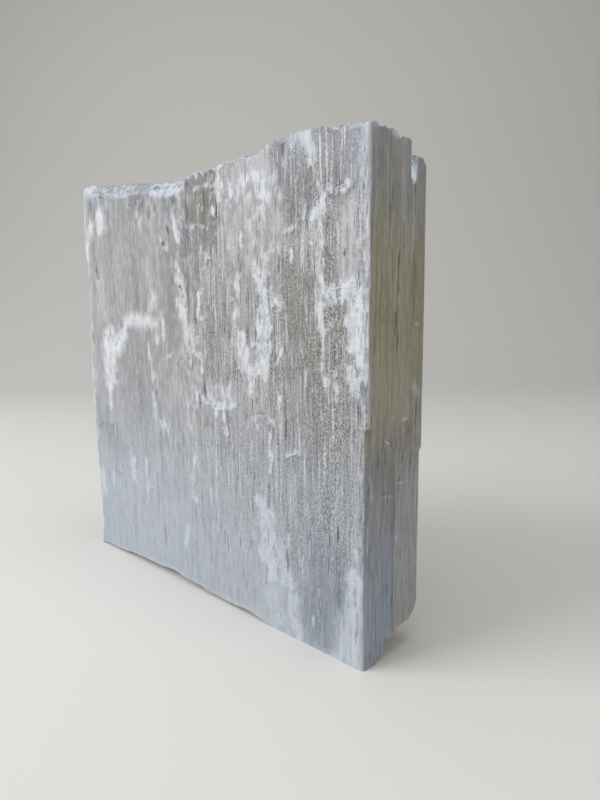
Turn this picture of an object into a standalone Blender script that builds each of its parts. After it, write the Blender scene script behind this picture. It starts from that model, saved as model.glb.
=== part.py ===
"""A raw slab of satin spar selenite, standing on its broken foot: one solid.

The slab is a block sawn into blades (bundles of upright fibres, side by side along X), lamellae
(upright sheets, one behind the other along Y) and courses (along Z). Every point of the block's skin
then moves in or out by the depth that its own side has there: steps between blades, ledges where a
blade has broken away, the ragged fibre ends at the top and the chipped foot. All lengths are metres,
+Z is up, the broad front face looks along -Y, and the origin is under the middle of the foot.
"""

import random

import bmesh
import bpy

# ---------------------------------------------------------------- driving dimensions
WIDTH = 0.262
THICKNESS = 0.048
HEIGHT = 0.270
CREVICE = 0.0003  # how far apart the two sides of a step between blades or lamellae are
WIDE_BLADE = 0.0082  # a blade wider than this is bent once along its middle
END_REACH = 0.020  # how far from the left and right ends the blades give way to the ends' shapes
TOP_REACH = 0.082  # how far down from the top the courses give way to its shape
FOOT_REACH = 0.040  # how far up from the ground the courses give way to the foot's shape
STAGGER = 0.006  # how far up or down one blade's ledges lie from its neighbours'

# Left edge of each blade, and how far its front and its back lie behind the block's skin.
BLADES = (
    (0.000, 0.0010, 0.0024),
    (0.010, 0.0004, 0.0008),
    (0.020, 0.0009, 0.0003),
    (0.030, 0.0003, 0.0012),
    (0.043, 0.0007, 0.0018),
    (0.054, 0.0002, 0.0022),
    (0.065, 0.0005, 0.0005),
    (0.080, 0.0002, 0.0000),
    (0.090, 0.0006, 0.0007),
    (0.098, 0.0010, 0.0016),
    (0.111, 0.0003, 0.0031),
    (0.119, 0.0001, 0.0026),
    (0.125, 0.0011, 0.0009),
    (0.133, 0.0014, 0.0004),
    (0.142, 0.0010, 0.0011),
    (0.154, 0.0002, 0.0017),
    (0.163, 0.0006, 0.0010),
    (0.172, 0.0000, 0.0002),
    (0.182, 0.0003, 0.0006),
    (0.190, 0.0000, 0.0013),
    (0.199, 0.0004, 0.0028),
    (0.207, 0.0014, 0.0015),
    (0.218, 0.0009, 0.0007),
    (0.228, 0.0002, 0.0003),
    (0.235, 0.0008, 0.0000),
    (0.245, 0.0005, 0.0012),
    (0.254, 0.0001, 0.0021),
)
# Where one lamella ends and the next begins, and where a lamella is bent, both from the front.
LAMELLA_STEPS = (0.0098, 0.0166, 0.0236, 0.0335)
LAMELLA_BENDS = (0.0040, 0.0295, 0.0385, 0.0440)
# Heights at which the skin may bend, and those at which a ledge steps it in or out.
COURSES = (0.006, 0.018, 0.040, 0.062, 0.084, 0.143, 0.158, 0.204, 0.241, 0.253)
LEDGES = (0.107, 0.124, 0.188, 0.221)

# ---------------------------------------------------------------- outline keys, each (place, value)
# Height of the top along the width, seen from the front.
TOP_LINE = (
    (0.000, 0.2690), (0.006, 0.2700), (0.015, 0.2700), (0.046, 0.2665), (0.076, 0.2634),
    (0.100, 0.2598), (0.1245, 0.2580), (0.1255, 0.2602), (0.140, 0.2607), (0.1535, 0.2602),
    (0.1545, 0.2612), (0.171, 0.2618), (0.182, 0.2616), (0.1895, 0.2624), (0.197, 0.2638),
    (0.202, 0.2660), (0.211, 0.2664), (0.220, 0.2662), (0.231, 0.2652), (0.248, 0.2632),
    (0.2535, 0.2615), (0.2545, 0.2626), (0.262, 0.2626),
)
# The front of the top is crushed to a slope on the left half: how far it falls, and how deep it runs.
CRUSHED_FALL = (
    (0.000, 0.0068), (0.030, 0.0078), (0.046, 0.0087), (0.070, 0.0082), (0.092, 0.0068),
    (0.107, 0.0098), (0.1245, 0.0058), (0.1255, 0.0010), (0.262, 0.0006),
)
CRUSHED_DEPTH = 0.0098
# The rear lamella stands lower than the front ones: the most it falls, at each place along the width.
REAR_FALL = (
    (0.000, 0.0085), (0.040, 0.0060), (0.090, 0.0035), (0.140, 0.0070), (0.190, 0.0050),
    (0.225, 0.0085), (0.262, 0.0096),
)
SHELF_SHARE = 0.68  # of the rear fall, on the narrow shelf in front of the rear lamella
SHELF_END = (0.0335, 0.0385)  # the shelf, from the front, and its slope down to the right end
SHELF_SLOPE_FROM = 0.250
SHELF_SLOPE_FALL = 0.0130
FIBRE_RAG = 0.0016  # how unevenly the blades and lamellae broke off at the top

# Height of the foot's front edge along the width; it comes down to the ground behind.
FOOT_LINE = (
    (0.000, 0.0000), (0.010, 0.0019), (0.028, 0.0018), (0.048, 0.0034), (0.065, 0.0039),
    (0.081, 0.0042), (0.099, 0.0056), (0.111, 0.0042), (0.127, 0.0033), (0.138, 0.0024),
    (0.152, 0.0018), (0.175, 0.0029), (0.192, 0.0003), (0.200, 0.0000),
)
FOOT_CHIP_DEPTH = 0.0098
# The broken rear corner of the foot at the right end: height from the front to the back.
CORNER_LINE = (
    (0.0097, 0.0000), (0.0099, 0.0041), (0.0165, 0.0018), (0.0167, 0.0098), (0.0236, 0.0115),
    (0.0295, 0.0145), (0.0385, 0.0137), (0.0440, 0.0160), (0.0480, 0.0220),
)
CORNER_FROM = 0.216
CORNER_FULL = 0.250

# How far the left end lies in from the block's side, from the foot up.
LEFT_LINE = (
    (0.000, 0.0018), (0.018, 0.0052), (0.040, 0.0043), (0.062, 0.0030), (0.084, 0.0012),
    (0.107, 0.0000), (0.143, 0.0018), (0.158, 0.0026), (0.204, 0.0045), (0.221, 0.0025),
    (0.241, 0.0020), (0.253, 0.0022), (0.270, 0.0034),
)
LEFT_LAMELLAE = ((0.0098, 0.0), (0.0236, 0.0016), (0.0335, 0.0004), (0.0480, 0.0030))
# At the right end the front lamellae have lost a sheet below a ledge.
RIGHT_LEDGE = 0.124
RIGHT_LOST = ((0.0000, 0.0024), (0.0098, 0.0016), (0.0099, 0.0009), (0.0236, 0.0006))
RIGHT_LAMELLAE = ((0.0236, 0.0002), (0.0335, 0.0008), (0.0385, 0.0), (0.0480, 0.0006))
RECESS = 0.0026  # depth of the upright recess in front of the rear lamella
RECESS_FROM = 0.188
REAR_SPLINTER_END = 0.107  # the rear of the right end is thinner below this
REAR_SPLINTER = 0.0019
REAR_SPLINTER_FROM = 0.228

# Places where the front has flaked: left, right, lowest and highest edge, and depth (below 0: a raised flake).
FRONT_FLAKES = (
    (0.133, 0.163, 0.124, 0.143, 0.0012),
    (0.163, 0.199, 0.084, 0.124, 0.0005),
    (0.207, 0.218, 0.221, HEIGHT, 0.0008),
    (0.098, 0.111, 0.221, 0.241, 0.0009),
    (0.235, 0.262, 0.188, HEIGHT, 0.0005),
    (0.254, 0.262, 0.124, 0.143, -0.0001),
    (0.020, 0.043, 0.107, 0.158, 0.0003),
    (0.054, 0.065, 0.000, 0.107, 0.0004),
    (0.182, 0.199, 0.000, 0.062, 0.0004),
)
# The same for the back.
BACK_FLAKES = (
    (0.000, 0.030, 0.000, 0.107, 0.0016),
    (0.030, 0.065, 0.188, HEIGHT, 0.0014),
    (0.090, 0.125, 0.062, 0.188, 0.0012),
    (0.142, 0.182, 0.124, 0.221, 0.0020),
    (0.172, 0.207, 0.000, 0.062, 0.0012),
    (0.218, 0.245, 0.143, HEIGHT, 0.0010),
)


def between(keys, place):
    """The value that straight lines between the keys give at this place."""
    if place <= keys[0][0]:
        return keys[0][1]
    for (a, low), (b, high) in zip(keys, keys[1:]):
        if place <= b:
            return low + (high - low) * (place - a) / (b - a)
    return keys[-1][1]


def ramp(place, start, end):
    """0 before start, 1 after end, and a straight line between them."""
    return min(1.0, max(0.0, (place - start) / (end - start)))


def index_of(edges, place):
    """How many of these edges lie before the place."""
    return sum(place > edge for edge in edges)


def stations(steps, bends):
    """Where the block is sawn: two cuts at each step, one at each bend."""
    pairs = [step + side * CREVICE / 2 for step in steps for side in (-1, 1)]
    return sorted(pairs + list(bends))


BLADE_EDGES = [blade[0] for blade in BLADES[1:]]
BLADE_ENDS = BLADE_EDGES + [WIDTH]
BLADE_BENDS = [
    (left + right) / 2
    for (left, _, _), right in zip(BLADES, BLADE_ENDS)
    if right - left > WIDE_BLADE
]


def ragged_ends():
    """How much lower each blade broke off in each lamella."""
    chance = random.Random(11)
    return [[chance.uniform(0, FIBRE_RAG) for _ in range(len(LAMELLA_STEPS) + 1)] for _ in BLADES]


def staggers():
    """How far up each blade's ledges lie. The blades of the right end keep theirs in line."""
    chance = random.Random(5)
    shifts = [chance.uniform(-STAGGER, STAGGER) for _ in BLADES]
    return [0.0 if blade[0] > WIDTH - END_REACH else shift for blade, shift in zip(BLADES, shifts)]


RAGGED = ragged_ends()
STAGGERS = staggers()


def flaked(flakes, x, z):
    """The depth lost or gained by the flakes at this place on a broad face."""
    return sum(
        depth for left, right, low, high, depth in flakes if left < x < right and low < z < high
    )


def front_depth(x, z):
    """Depth of the front behind the block's skin."""
    blade = BLADES[index_of(BLADE_EDGES, x)]
    return max(0.0, blade[1] + flaked(FRONT_FLAKES, x, z))


def back_depth(x, z):
    """Depth of the back in from the block's skin."""
    blade = BLADES[index_of(BLADE_EDGES, x)]
    depth = blade[2] + flaked(BACK_FLAKES, x, z)
    if x > REAR_SPLINTER_FROM and z < REAR_SPLINTER_END:
        depth += REAR_SPLINTER
    return max(0.0, depth)


def left_depth(y, z):
    """Depth of the left end in from the block's skin."""
    return between(LEFT_LINE, z) + between(LEFT_LAMELLAE, y)


def right_depth(y, z):
    """Depth of the right end in from the block's skin."""
    if y < LAMELLA_STEPS[2] and z < RIGHT_LEDGE:
        return between(RIGHT_LOST, y)
    depth = between(RIGHT_LAMELLAE, y) if y > LAMELLA_STEPS[2] else 0.0
    if SHELF_END[0] < y < SHELF_END[1] and z > RECESS_FROM:
        depth += RECESS
    return depth


def top_height(x, y):
    """Height of the broken fibre ends."""
    height = between(TOP_LINE, x)
    height -= between(CRUSHED_FALL, x) * (1 - ramp(y, 0, CRUSHED_DEPTH)) ** 2
    if y > SHELF_END[0]:
        share = SHELF_SHARE if y < SHELF_END[1] - CREVICE else 1.0
        height -= share * between(REAR_FALL, x)
        height -= SHELF_SLOPE_FALL * (share < 1) * ramp(x, SHELF_SLOPE_FROM, WIDTH)
    is_crest = x < BLADES[3][0] and y > CRUSHED_DEPTH  # the highest blades, which give the height
    rag = RAGGED[index_of(BLADE_EDGES, x)][index_of(LAMELLA_STEPS, y)]
    return height - (0.0 if is_crest and y < LAMELLA_STEPS[1] else rag)


def foot_height(x, y):
    """Height of the foot above the ground: 0 where it rests."""
    chip = between(FOOT_LINE, x) * (1 - ramp(y, 0, FOOT_CHIP_DEPTH))
    corner = between(CORNER_LINE, y) * ramp(x, CORNER_FROM, CORNER_FULL)
    return max(chip, corner)


def moved(point):
    """Where a point of the plain block ends up. Every side moves by its own depth."""
    x, y, z = point.x + WIDTH / 2, point.y + THICKNESS / 2, point.z
    across = y / THICKNESS
    by_left = 1 - ramp(x, 0, END_REACH)
    by_right = ramp(x, WIDTH - END_REACH, WIDTH)
    by_foot = 1 - ramp(z, 0, FOOT_REACH)
    by_top = ramp(z, HEIGHT - TOP_REACH, HEIGHT)
    shift_x = by_left * left_depth(y, z) - by_right * right_depth(y, z)
    shift_y = (1 - across) * front_depth(x, z) - across * back_depth(x, z)
    shift_z = by_foot * foot_height(x, y) - by_top * (HEIGHT - top_height(x, y))
    shift_z += (1 - by_foot) * (1 - by_top) * STAGGERS[index_of(BLADE_EDGES, x)]
    return (point.x + shift_x, point.y + shift_y, point.z + shift_z)


def saw(mesh, places, axis):
    """Cuts the block's skin along planes across this axis, without parting it."""
    normal = [float(axis == k) for k in range(3)]
    for place in places:
        every = mesh.verts[:] + mesh.edges[:] + mesh.faces[:]
        bmesh.ops.bisect_plane(
            mesh, geom=every, dist=1e-7, plane_co=[place * n for n in normal], plane_no=normal
        )


def crystal_mesh():
    """The block, sawn into blades, lamellae and courses, with every point then moved to its depth."""
    mesh = bmesh.new()
    bmesh.ops.create_cube(mesh, size=1.0)
    bmesh.ops.scale(mesh, vec=(WIDTH, THICKNESS, HEIGHT), verts=mesh.verts)
    bmesh.ops.translate(mesh, vec=(0, 0, HEIGHT / 2), verts=mesh.verts)
    saw(mesh, [x - WIDTH / 2 for x in stations(BLADE_EDGES, BLADE_BENDS)], 0)
    saw(mesh, [y - THICKNESS / 2 for y in stations(LAMELLA_STEPS, LAMELLA_BENDS)], 1)
    saw(mesh, stations(LEDGES, COURSES), 2)
    for vertex in mesh.verts:
        vertex.co = moved(vertex.co)
    bmesh.ops.triangulate(mesh, faces=mesh.faces, quad_method="SHORT_EDGE")
    made = bpy.data.meshes.new("selenite_crystal")
    mesh.to_mesh(made)
    mesh.free()
    return made


def selenite_material():
    """Milky satin spar: pale, translucent and silky."""
    material = bpy.data.materials.new("selenite")
    material.use_nodes = True
    shader = material.node_tree.nodes["Principled BSDF"]
    shader.inputs["Base Color"].default_value = (0.62, 0.61, 0.57, 1.0)
    shader.inputs["Roughness"].default_value = 0.42
    shader.inputs["Metallic"].default_value = 0.0
    shader.inputs["IOR"].default_value = 1.52
    return material


def main():
    for old in list(bpy.data.objects):
        bpy.data.objects.remove(old)
    collection = bpy.data.collections.new("selenite_slab")
    bpy.context.scene.collection.children.link(collection)
    crystal = bpy.data.objects.new("selenite_crystal", crystal_mesh())
    crystal.data.materials.append(selenite_material())
    collection.objects.link(crystal)


main()
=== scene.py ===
import math

import bpy
import numpy as np
from mathutils import Matrix, Vector


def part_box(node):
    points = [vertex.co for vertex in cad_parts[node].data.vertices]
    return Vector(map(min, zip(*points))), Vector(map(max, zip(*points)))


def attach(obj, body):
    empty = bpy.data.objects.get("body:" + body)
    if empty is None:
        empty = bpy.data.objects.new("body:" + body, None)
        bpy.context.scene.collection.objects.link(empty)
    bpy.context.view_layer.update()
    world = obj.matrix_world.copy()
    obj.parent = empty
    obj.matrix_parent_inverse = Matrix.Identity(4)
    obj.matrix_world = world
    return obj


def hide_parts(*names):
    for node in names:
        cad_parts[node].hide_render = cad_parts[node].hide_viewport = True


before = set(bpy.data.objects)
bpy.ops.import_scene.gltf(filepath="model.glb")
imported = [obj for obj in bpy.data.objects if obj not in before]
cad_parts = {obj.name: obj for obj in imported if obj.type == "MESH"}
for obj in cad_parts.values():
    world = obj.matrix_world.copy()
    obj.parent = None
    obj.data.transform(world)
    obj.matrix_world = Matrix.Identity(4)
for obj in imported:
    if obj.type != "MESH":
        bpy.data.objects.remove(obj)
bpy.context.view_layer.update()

mm = 0.001
blockLow, blockHigh = (np.array(corner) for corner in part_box("selenite_crystal"))
blockSize = blockHigh - blockLow
print("frame loaded: block", np.round(blockSize / mm, 1))


def keyed(keys, place):
    # straight lines between (place, value) keys given in mm, read at places in metres
    places, values = np.array(keys, float).T * mm
    return np.interp(place, places, values)


def ease(low, high, value):
    # 0 below low, 1 above high, and between them the S curve t * t * (3 - 2 * t)
    t = np.clip((value - low) / (high - low), 0, 1)
    return t * t * (3 - 2 * t)


def softNoise(u, v, pitchU, pitchV, seed):
    # random numbers from 0 to 1 on a lattice of this pitch, eased between the four round each point
    table = np.random.default_rng(seed).random((256, 256))
    a, b = u / pitchU + 40, v / pitchV + 40
    i, j = np.floor(a).astype(int), np.floor(b).astype(int)
    s, t = ease(0, 1, a - i), ease(0, 1, b - j)
    lower = table[i % 256, j % 256] * (1 - s) + table[(i + 1) % 256, j % 256] * s
    upper = table[i % 256, (j + 1) % 256] * (1 - s) + table[(i + 1) % 256, (j + 1) % 256] * s
    return lower * (1 - t) + upper * t


def fibreNoise(u, v, pitchU, pitchV, seed):
    # strips of width pitchU, each cut at its own heights into lengths of about pitchV:
    # every length has one random number from 0 to 1
    table = np.random.default_rng(seed).random((512, 64))
    i = np.floor(u / pitchU + 60).astype(int) % 512
    j = np.floor(v / pitchV * (0.7 + 0.6 * table[i, 0]) + 9 * table[i, 1] + 9).astype(int) % 64
    return table[i, j]


def newMesh(name, points, faces, material, values=None):
    # puts arrays of points and quads into a mesh at the origin; values holds named numbers, one a point
    sharpAngle = math.radians(38)  # edges that turn more than this stay sharp
    mesh = bpy.data.meshes.new(name)
    mesh.from_pydata(points.tolist(), [], faces.tolist())
    for key, numbers in (values or {}).items():
        mesh.attributes.new(key, "FLOAT", "POINT").data.foreach_set("value", numbers.astype(np.float32))
    mesh.shade_smooth()
    mesh.set_sharp_from_angle(angle=sharpAngle)
    mesh.materials.append(material)
    mesh.update()
    piece = bpy.data.objects.new(name, mesh)
    bpy.context.scene.collection.objects.link(piece)
    return piece


def blockSkin(xs, ys, zs):
    # the lattice points on the six sides of a block, each once, and the quads between them, facing out
    number = np.arange(len(xs) * len(ys) * len(zs)).reshape(len(xs), len(ys), len(zs))

    def quads(sheet, turned):
        # the four corners of every cell of one side, turned the other way round where that faces out
        a, b, c, d = sheet[:-1, :-1], sheet[1:, :-1], sheet[1:, 1:], sheet[:-1, 1:]
        return np.stack((a, d, c, b) if turned else (a, b, c, d), -1).reshape(-1, 4)

    faces = np.concatenate([
        quads(number[:, 0, :], False),
        quads(number[:, -1, :], True),
        quads(number[0, :, :], True),
        quads(number[-1, :, :], False),
        quads(number[:, :, 0], True),
        quads(number[:, :, -1], False),
    ])
    used, faces = np.unique(faces, return_inverse=True)
    i, j, k = np.unravel_index(used, number.shape)
    return xs[i], ys[j], zs[k], faces.reshape(-1, 4)


def colour(red, green, blue):
    # a screen colour of 0 to 255 as the linear colour that shaders take
    channels = np.array([red, green, blue]) / 255
    linear = np.where(channels <= 0.04045, channels / 12.92, ((channels + 0.055) / 1.055) ** 2.4)
    return (*linear.tolist(), 1.0)


def feed(tree, socket, value):
    # joins a socket to another node's output, or sets it to a plain value
    if isinstance(value, bpy.types.NodeSocket):
        tree.links.new(value, socket)
    else:
        socket.default_value = value


def put(tree, kind, links=None, **settings):
    # adds a node; settings are its properties, links are {socket: value or another node's output}
    node = tree.nodes.new(kind)
    for key, value in settings.items():
        setattr(node, key, value)
    for key, value in (links or {}).items():
        feed(tree, node.inputs[key], value)
    return node


def maths(tree, operation, first, second, clamp=False):
    # two numbers put together by one operation, held between 0 and 1 if clamp is set
    links = {0: first, 1: second}
    return put(tree, "ShaderNodeMath", links, operation=operation, use_clamp=clamp).outputs[0]


def easeNode(tree, value, low, high, toLow=0.0, toHigh=1.0):
    # toLow below low, toHigh above high, and between them the S curve of ease
    links = {"Value": value, "From Min": low, "From Max": high, "To Min": toLow, "To Max": toHigh}
    return put(tree, "ShaderNodeMapRange", links, interpolation_type="SMOOTHSTEP").outputs["Result"]


def blendColours(tree, share, first, second):
    # first * (1 - share) + second * share
    return put(tree, "ShaderNodeMix", {0: share, 6: first, 7: second}, data_type="RGBA").outputs[2]


def stretchedNoise(tree, vector, across, along, detail):
    # noise with `across` cells a metre over the fibres and `along` cells a metre along them
    cells = (across, across, along)
    scaled = put(tree, "ShaderNodeVectorMath", {0: vector, 1: cells}, operation="MULTIPLY")
    links = {"Vector": scaled.outputs[0], "Scale": 1.0, "Detail": detail}
    return put(tree, "ShaderNodeTexNoise", links).outputs[0]


def newGroup(name, inputs, outputs):
    # an empty node group with named sockets, all numbers but the one named Vector:
    # gives back the group, what it is given and what it puts out
    group = bpy.data.node_groups.new(name, "ShaderNodeTree")
    for way, keys in (("INPUT", inputs), ("OUTPUT", outputs)):
        for key in keys:
            kind = "NodeSocketVector" if key == "Vector" else "NodeSocketFloat"
            group.interface.new_socket(key, in_out=way, socket_type=kind)
    return group, group.nodes.new("NodeGroupInput").outputs, group.nodes.new("NodeGroupOutput").inputs


def useGroup(tree, group, links):
    # puts a node group into a tree and gives back its outputs
    return put(tree, "ShaderNodeGroup", links, node_tree=group).outputs


def makeFibreGroup():
    # upright fibres of satin spar at five widths, wavering a little, with blotches and a sugary grain
    patterns = {  # cells a metre over the fibres and along them, detail
        "Dash": (1100, 150, 2.5),
        "Line": (950, 30, 2.5),
        "Thread": (620, 32, 2.5),
        "Strand": (260, 17, 2.5),
        "Bundle": (120, 8, 1.5),
        "Blotch": (270, 160, 4.0),
        "Grain": (2000, 900, 2.0),
    }
    group, given, out = newGroup("satinFibres", ["Vector", "Waver"], patterns)

    def vectorMaths(operation, links):
        # two vectors, or a vector and a number, put together by one operation
        return put(group, "ShaderNodeVectorMath", links, operation=operation).outputs[0]

    tideCells = (30, 30, 22)  # swells a metre of the waver
    middle = (0.5, 0.5, 0.5)  # of the noise's colour
    tide = vectorMaths("MULTIPLY", {0: given["Vector"], 1: tideCells})
    tideNoise = put(group, "ShaderNodeTexNoise", {"Vector": tide, "Scale": 1.0, "Detail": 2.0})
    centred = vectorMaths("SUBTRACT", {0: tideNoise.outputs["Color"], 1: middle})
    drift = vectorMaths("SCALE", {0: centred, "Scale": given["Waver"]})
    moved = vectorMaths("ADD", {0: given["Vector"], 1: drift})
    for key, (across, along, detail) in patterns.items():
        group.links.new(stretchedNoise(group, moved, across, along, detail), out[key])
    return group


def makeCrushGroup():
    # turns a soft density into ragged flecks: fibre, blotch and grain lift and lower it, then it is cut
    inputs = ["Density", "Fibre", "Blotch", "Grain", "Raggedness", "Softness"]
    group, given, out = newGroup("crushedFlecks", inputs, ["Mask"])
    weights = {"Fibre": 0.7, "Grain": 0.5, "Blotch": 1.7}
    average = 1.45  # of the three, so weighted
    cut = 0.5
    fibre, grain, blotch = (maths(group, "MULTIPLY", given[key], weight) for key, weight in weights.items())
    three = maths(group, "ADD", maths(group, "ADD", fibre, grain), blotch)
    swing = maths(group, "MULTIPLY", maths(group, "SUBTRACT", three, average), given["Raggedness"])
    lifted = maths(group, "ADD", given["Density"], swing)
    low = maths(group, "SUBTRACT", cut, given["Softness"])
    high = maths(group, "ADD", cut, given["Softness"])
    group.links.new(easeNode(group, lifted, low, high), out["Mask"])
    return group


fibreGroup = makeFibreGroup()
crushGroup = makeCrushGroup()


# the slab's shape: right from its left end, back from its front and up from its foot, mm
crystal = {
    "cellsAcross": 286,
    "frontCells": (12, 12),  # how many cells over how many mm behind the front, where the rim is crushed
    "rearCells": 21,
    "partings": [9.85, 16.55, 23.6, 33.5, 38.5],  # depths with a step
    "partingHalf": 0.12,  # each parting is held between two rows of points this far from it
    "rowPitch": 2.7,  # between rows of points
    "rowGap": 0.5,  # no other row stands closer to a parting than this
    "ledgeRows": [107, 124, 188, 221, 235],  # heights with a row below and a row above
    "ledgeHalf": 1.1,
    "topGap": 1.2,  # between the last two rows
    # left edge of each blade, and how far its front and its back lie behind the block's skin
    "blades": [
        (0, 1.0, 2.4), (10, 0.4, 0.8), (20, 0.9, 0.3), (30, 0.3, 1.2), (43, 0.7, 1.8), (54, 0.2, 2.2),
        (65, 0.5, 0.5), (80, 0.2, 0.0), (90, 0.6, 0.7), (98, 0.5, 1.6), (111, 0.3, 3.1), (119, 0.1, 2.6),
        (125, 1.1, 0.9), (133, 1.4, 0.4), (142, 1.0, 1.1), (154, 0.2, 1.7), (163, 0.6, 1.0),
        (172, 0.0, 0.2), (182, 0.3, 0.6), (190, 0.0, 1.3), (199, 0.4, 2.8), (207, 1.4, 1.5),
        (218, 0.9, 0.7), (228, 0.2, 0.3), (235, 0.6, 0.0), (245, 0.3, 1.2), (254, 0.2, 0.9),
    ],
    # how far in from its own side each relief is felt
    "endReach": 20,
    "topReach": 82,
    "footReach": 40,
    # the top's front edge: (right, height), then how far down it is crushed, and how far back
    "topLine": [
        (0, 269.0), (6, 270.0), (15, 270.0), (46, 266.5), (76, 263.4), (100, 259.8), (124.5, 258.0),
        (125.5, 260.2), (140, 260.7), (153.5, 260.2), (154.5, 261.2), (171, 261.8), (182, 261.6),
        (189.5, 262.4), (197, 263.8), (202, 266.0), (211, 266.4), (220, 266.2), (231, 265.2),
        (248, 263.2), (253.5, 261.5), (254.5, 262.6), (262, 262.6),
    ],
    "crushedFall": [
        (0, 6.8), (30, 7.8), (46, 8.7), (70, 8.2), (92, 6.8), (107, 9.8), (124.5, 5.8), (125.5, 1.0),
        (262, 0.6),
    ],
    "crushedDepth": [(0, 1.5), (6, 3.5), (20, 9.8), (262, 9.8)],
    # how much lower the lamellae behind the shelf stand, and how the shelf before them lies
    "rearFall": [(0, 8.5), (40, 6.0), (90, 3.5), (140, 7.0), (190, 5.0), (225, 8.5), (262, 9.6)],
    "shelf": (33.5, 38.5),  # from, to, going back
    "shelfShare": 0.68,
    "shelfSlope": (257.5, 12),  # right of, fall
    "notch": 125,  # the top is crushed left of it and chipped right of it
    "crest": (24, 34, 24),  # full left of, gone right of, and how far back
    "topWaver": 0.6,
    "rag": (1.3, 0.8, 0.7, 0.9),  # how far bundles, fibres and crumbs break off, less their average
    "crumple": 1.3,
    "chip": 2.2,
    "rearRound": (44.5, 48, 2.2),  # from, to, fall
    "calmCorner": 9,  # near the front right corner the top is less ragged
    # how far the top falls at the right end: (back, fall)
    "endTeeth": [
        (0, 0), (5, 0.4), (8, 1.2), (11, 0.7), (14, 2.2), (16.4, 1.4), (19, 0.9), (21, 1.6), (23.4, 3.6),
        (26, 2.6), (29, 3.2), (31, 2.4), (33.4, 3.0), (33.6, 0), (48, 0),
    ],
    # the chipped front edge of the foot: (right, height), and how far back the chips go
    "footLine": [
        (0, 0), (10, 1.9), (28, 1.8), (48, 3.4), (65, 3.9), (81, 4.2), (99, 5.6), (111, 4.2), (127, 3.3),
        (138, 2.4), (152, 1.8), (175, 2.9), (192, 0.3), (200, 0),
    ],
    "footChipDepth": 9.8,
    # the broken rear corner of the foot: (back, height), from nothing to full between two places
    "cornerLine": [
        (9.6, 0), (9.9, 4.1), (16.4, 1.8), (16.7, 9.8), (23.6, 11.5), (29.5, 14.5), (38.5, 13.7),
        (44, 16), (48, 22),
    ],
    "cornerReach": (216, 250),
    # how far in the left end lies: (up, in), and further by (back, in)
    "leftLine": [
        (0, 1.8), (18, 5.2), (40, 4.3), (62, 3.0), (84, 1.2), (107, 0), (143, 1.8), (158, 2.6),
        (204, 4.5), (221, 2.5), (241, 2.0), (253, 2.2), (270, 3.4),
    ],
    "leftLamellae": [(9.8, 0), (23.6, 1.6), (33.5, 0.4), (48, 3.0)],
    # how far in the right end lies: below its ledge in front, and by (back, in) behind
    "rightLedge": 124,
    "rightLost": [(0, 2.4), (9.8, 1.5), (23.6, 0.7)],
    "rightLamellae": [(23.6, 0.2), (33.5, 0.1), (38.5, 0), (48, 0.8)],
    "recess": (33.5, 38.5, 240, 0.9, 0.25),  # from, to, above, depth above it and below it
    "rearSplinter": (228, 107, 1.9),  # right of, below, depth
    "wear": 0.32,  # how far a worn edge stands back, for each mm that it is wide
    "groove": 0.16,  # between two blades
    "fibres": (0.30, 0.20, 0.16, 0.5),  # relief of coarse, middle and fine fibres, and of their swell
    "scoop": (150, 125, 17, 11, 1.3),  # the crescent chip: right, up, half width, height, depth
    "scoopLip": (124, 1.5),  # height of its ends, and how far its middle hangs down
    "blisters": [(209.0, 56.5), (208.5, 47.5), (98.8, 225.5), (104.5, 218.5)],  # right, up
    "blisterSize": (1.9, 0.6),  # reach, rise
    "markRelief": (0.26, 0.7, 0.30),  # how far bruises stand up, and pits and clear places lie in
    # flaked places on the front: left, right, low, high, depth lost (below 0: a raised flake)
    "frontFlakes": [
        (127, 152.5, 216, 256, 0.5), (163, 199, 84, 122, 0.5), (207.5, 216, 221, 270, 0.55),
        (97, 107, 217, 232, 0.3), (230, 262, 188, 235.5, 0.5), (252, 262, 124, 150, -0.7),
        (258.5, 262, 139, 148, 1.2), (20, 43, 107, 162, 0.3), (54, 65, 0, 107, 0.4),
        (212, 246, 0, 70, 0.5), (13.5, 18, 203, 213, 0.8), (182, 191, 112, 122, 0.5),
        (208, 217, 92, 104, 0.5), (248, 262, 158, 190, -0.3), (154, 200, 244, 260, -0.3),
    ],
    "backFlakes": [
        (0, 30, 0, 107, 1.6), (30, 65, 188, 270, 1.4), (90, 125, 62, 188, 1.2), (142, 182, 124, 221, 2.0),
        (172, 207, 0, 62, 1.2), (218, 245, 143, 270, 1.0), (60, 92, 96, 150, 0.5),
        (186, 204, 150, 240, 0.6),
    ],
    # hollows on the right end: front, rear, low, high, depth
    "endFlakes": [
        (19, 25, 176, 207, 0.5), (22, 23.6, 160, 180, 0.7), (36.5, 38, 98, 205, 0.8),
        (14, 22, 88, 116, 0.4), (24, 33, 93, 125, 0.4), (28, 33, 126, 134, -0.5),
        (38, 43, 134, 142, -0.4), (3, 9, 60, 97, 0.2), (9.6, 16.6, 0, 60, 0.2),
        (16.6, 23.4, 14, 127, 0.3), (15, 17.5, 226, 233, 0.4), (38.5, 42, 168, 173, 0.5),
    ],
}


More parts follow.
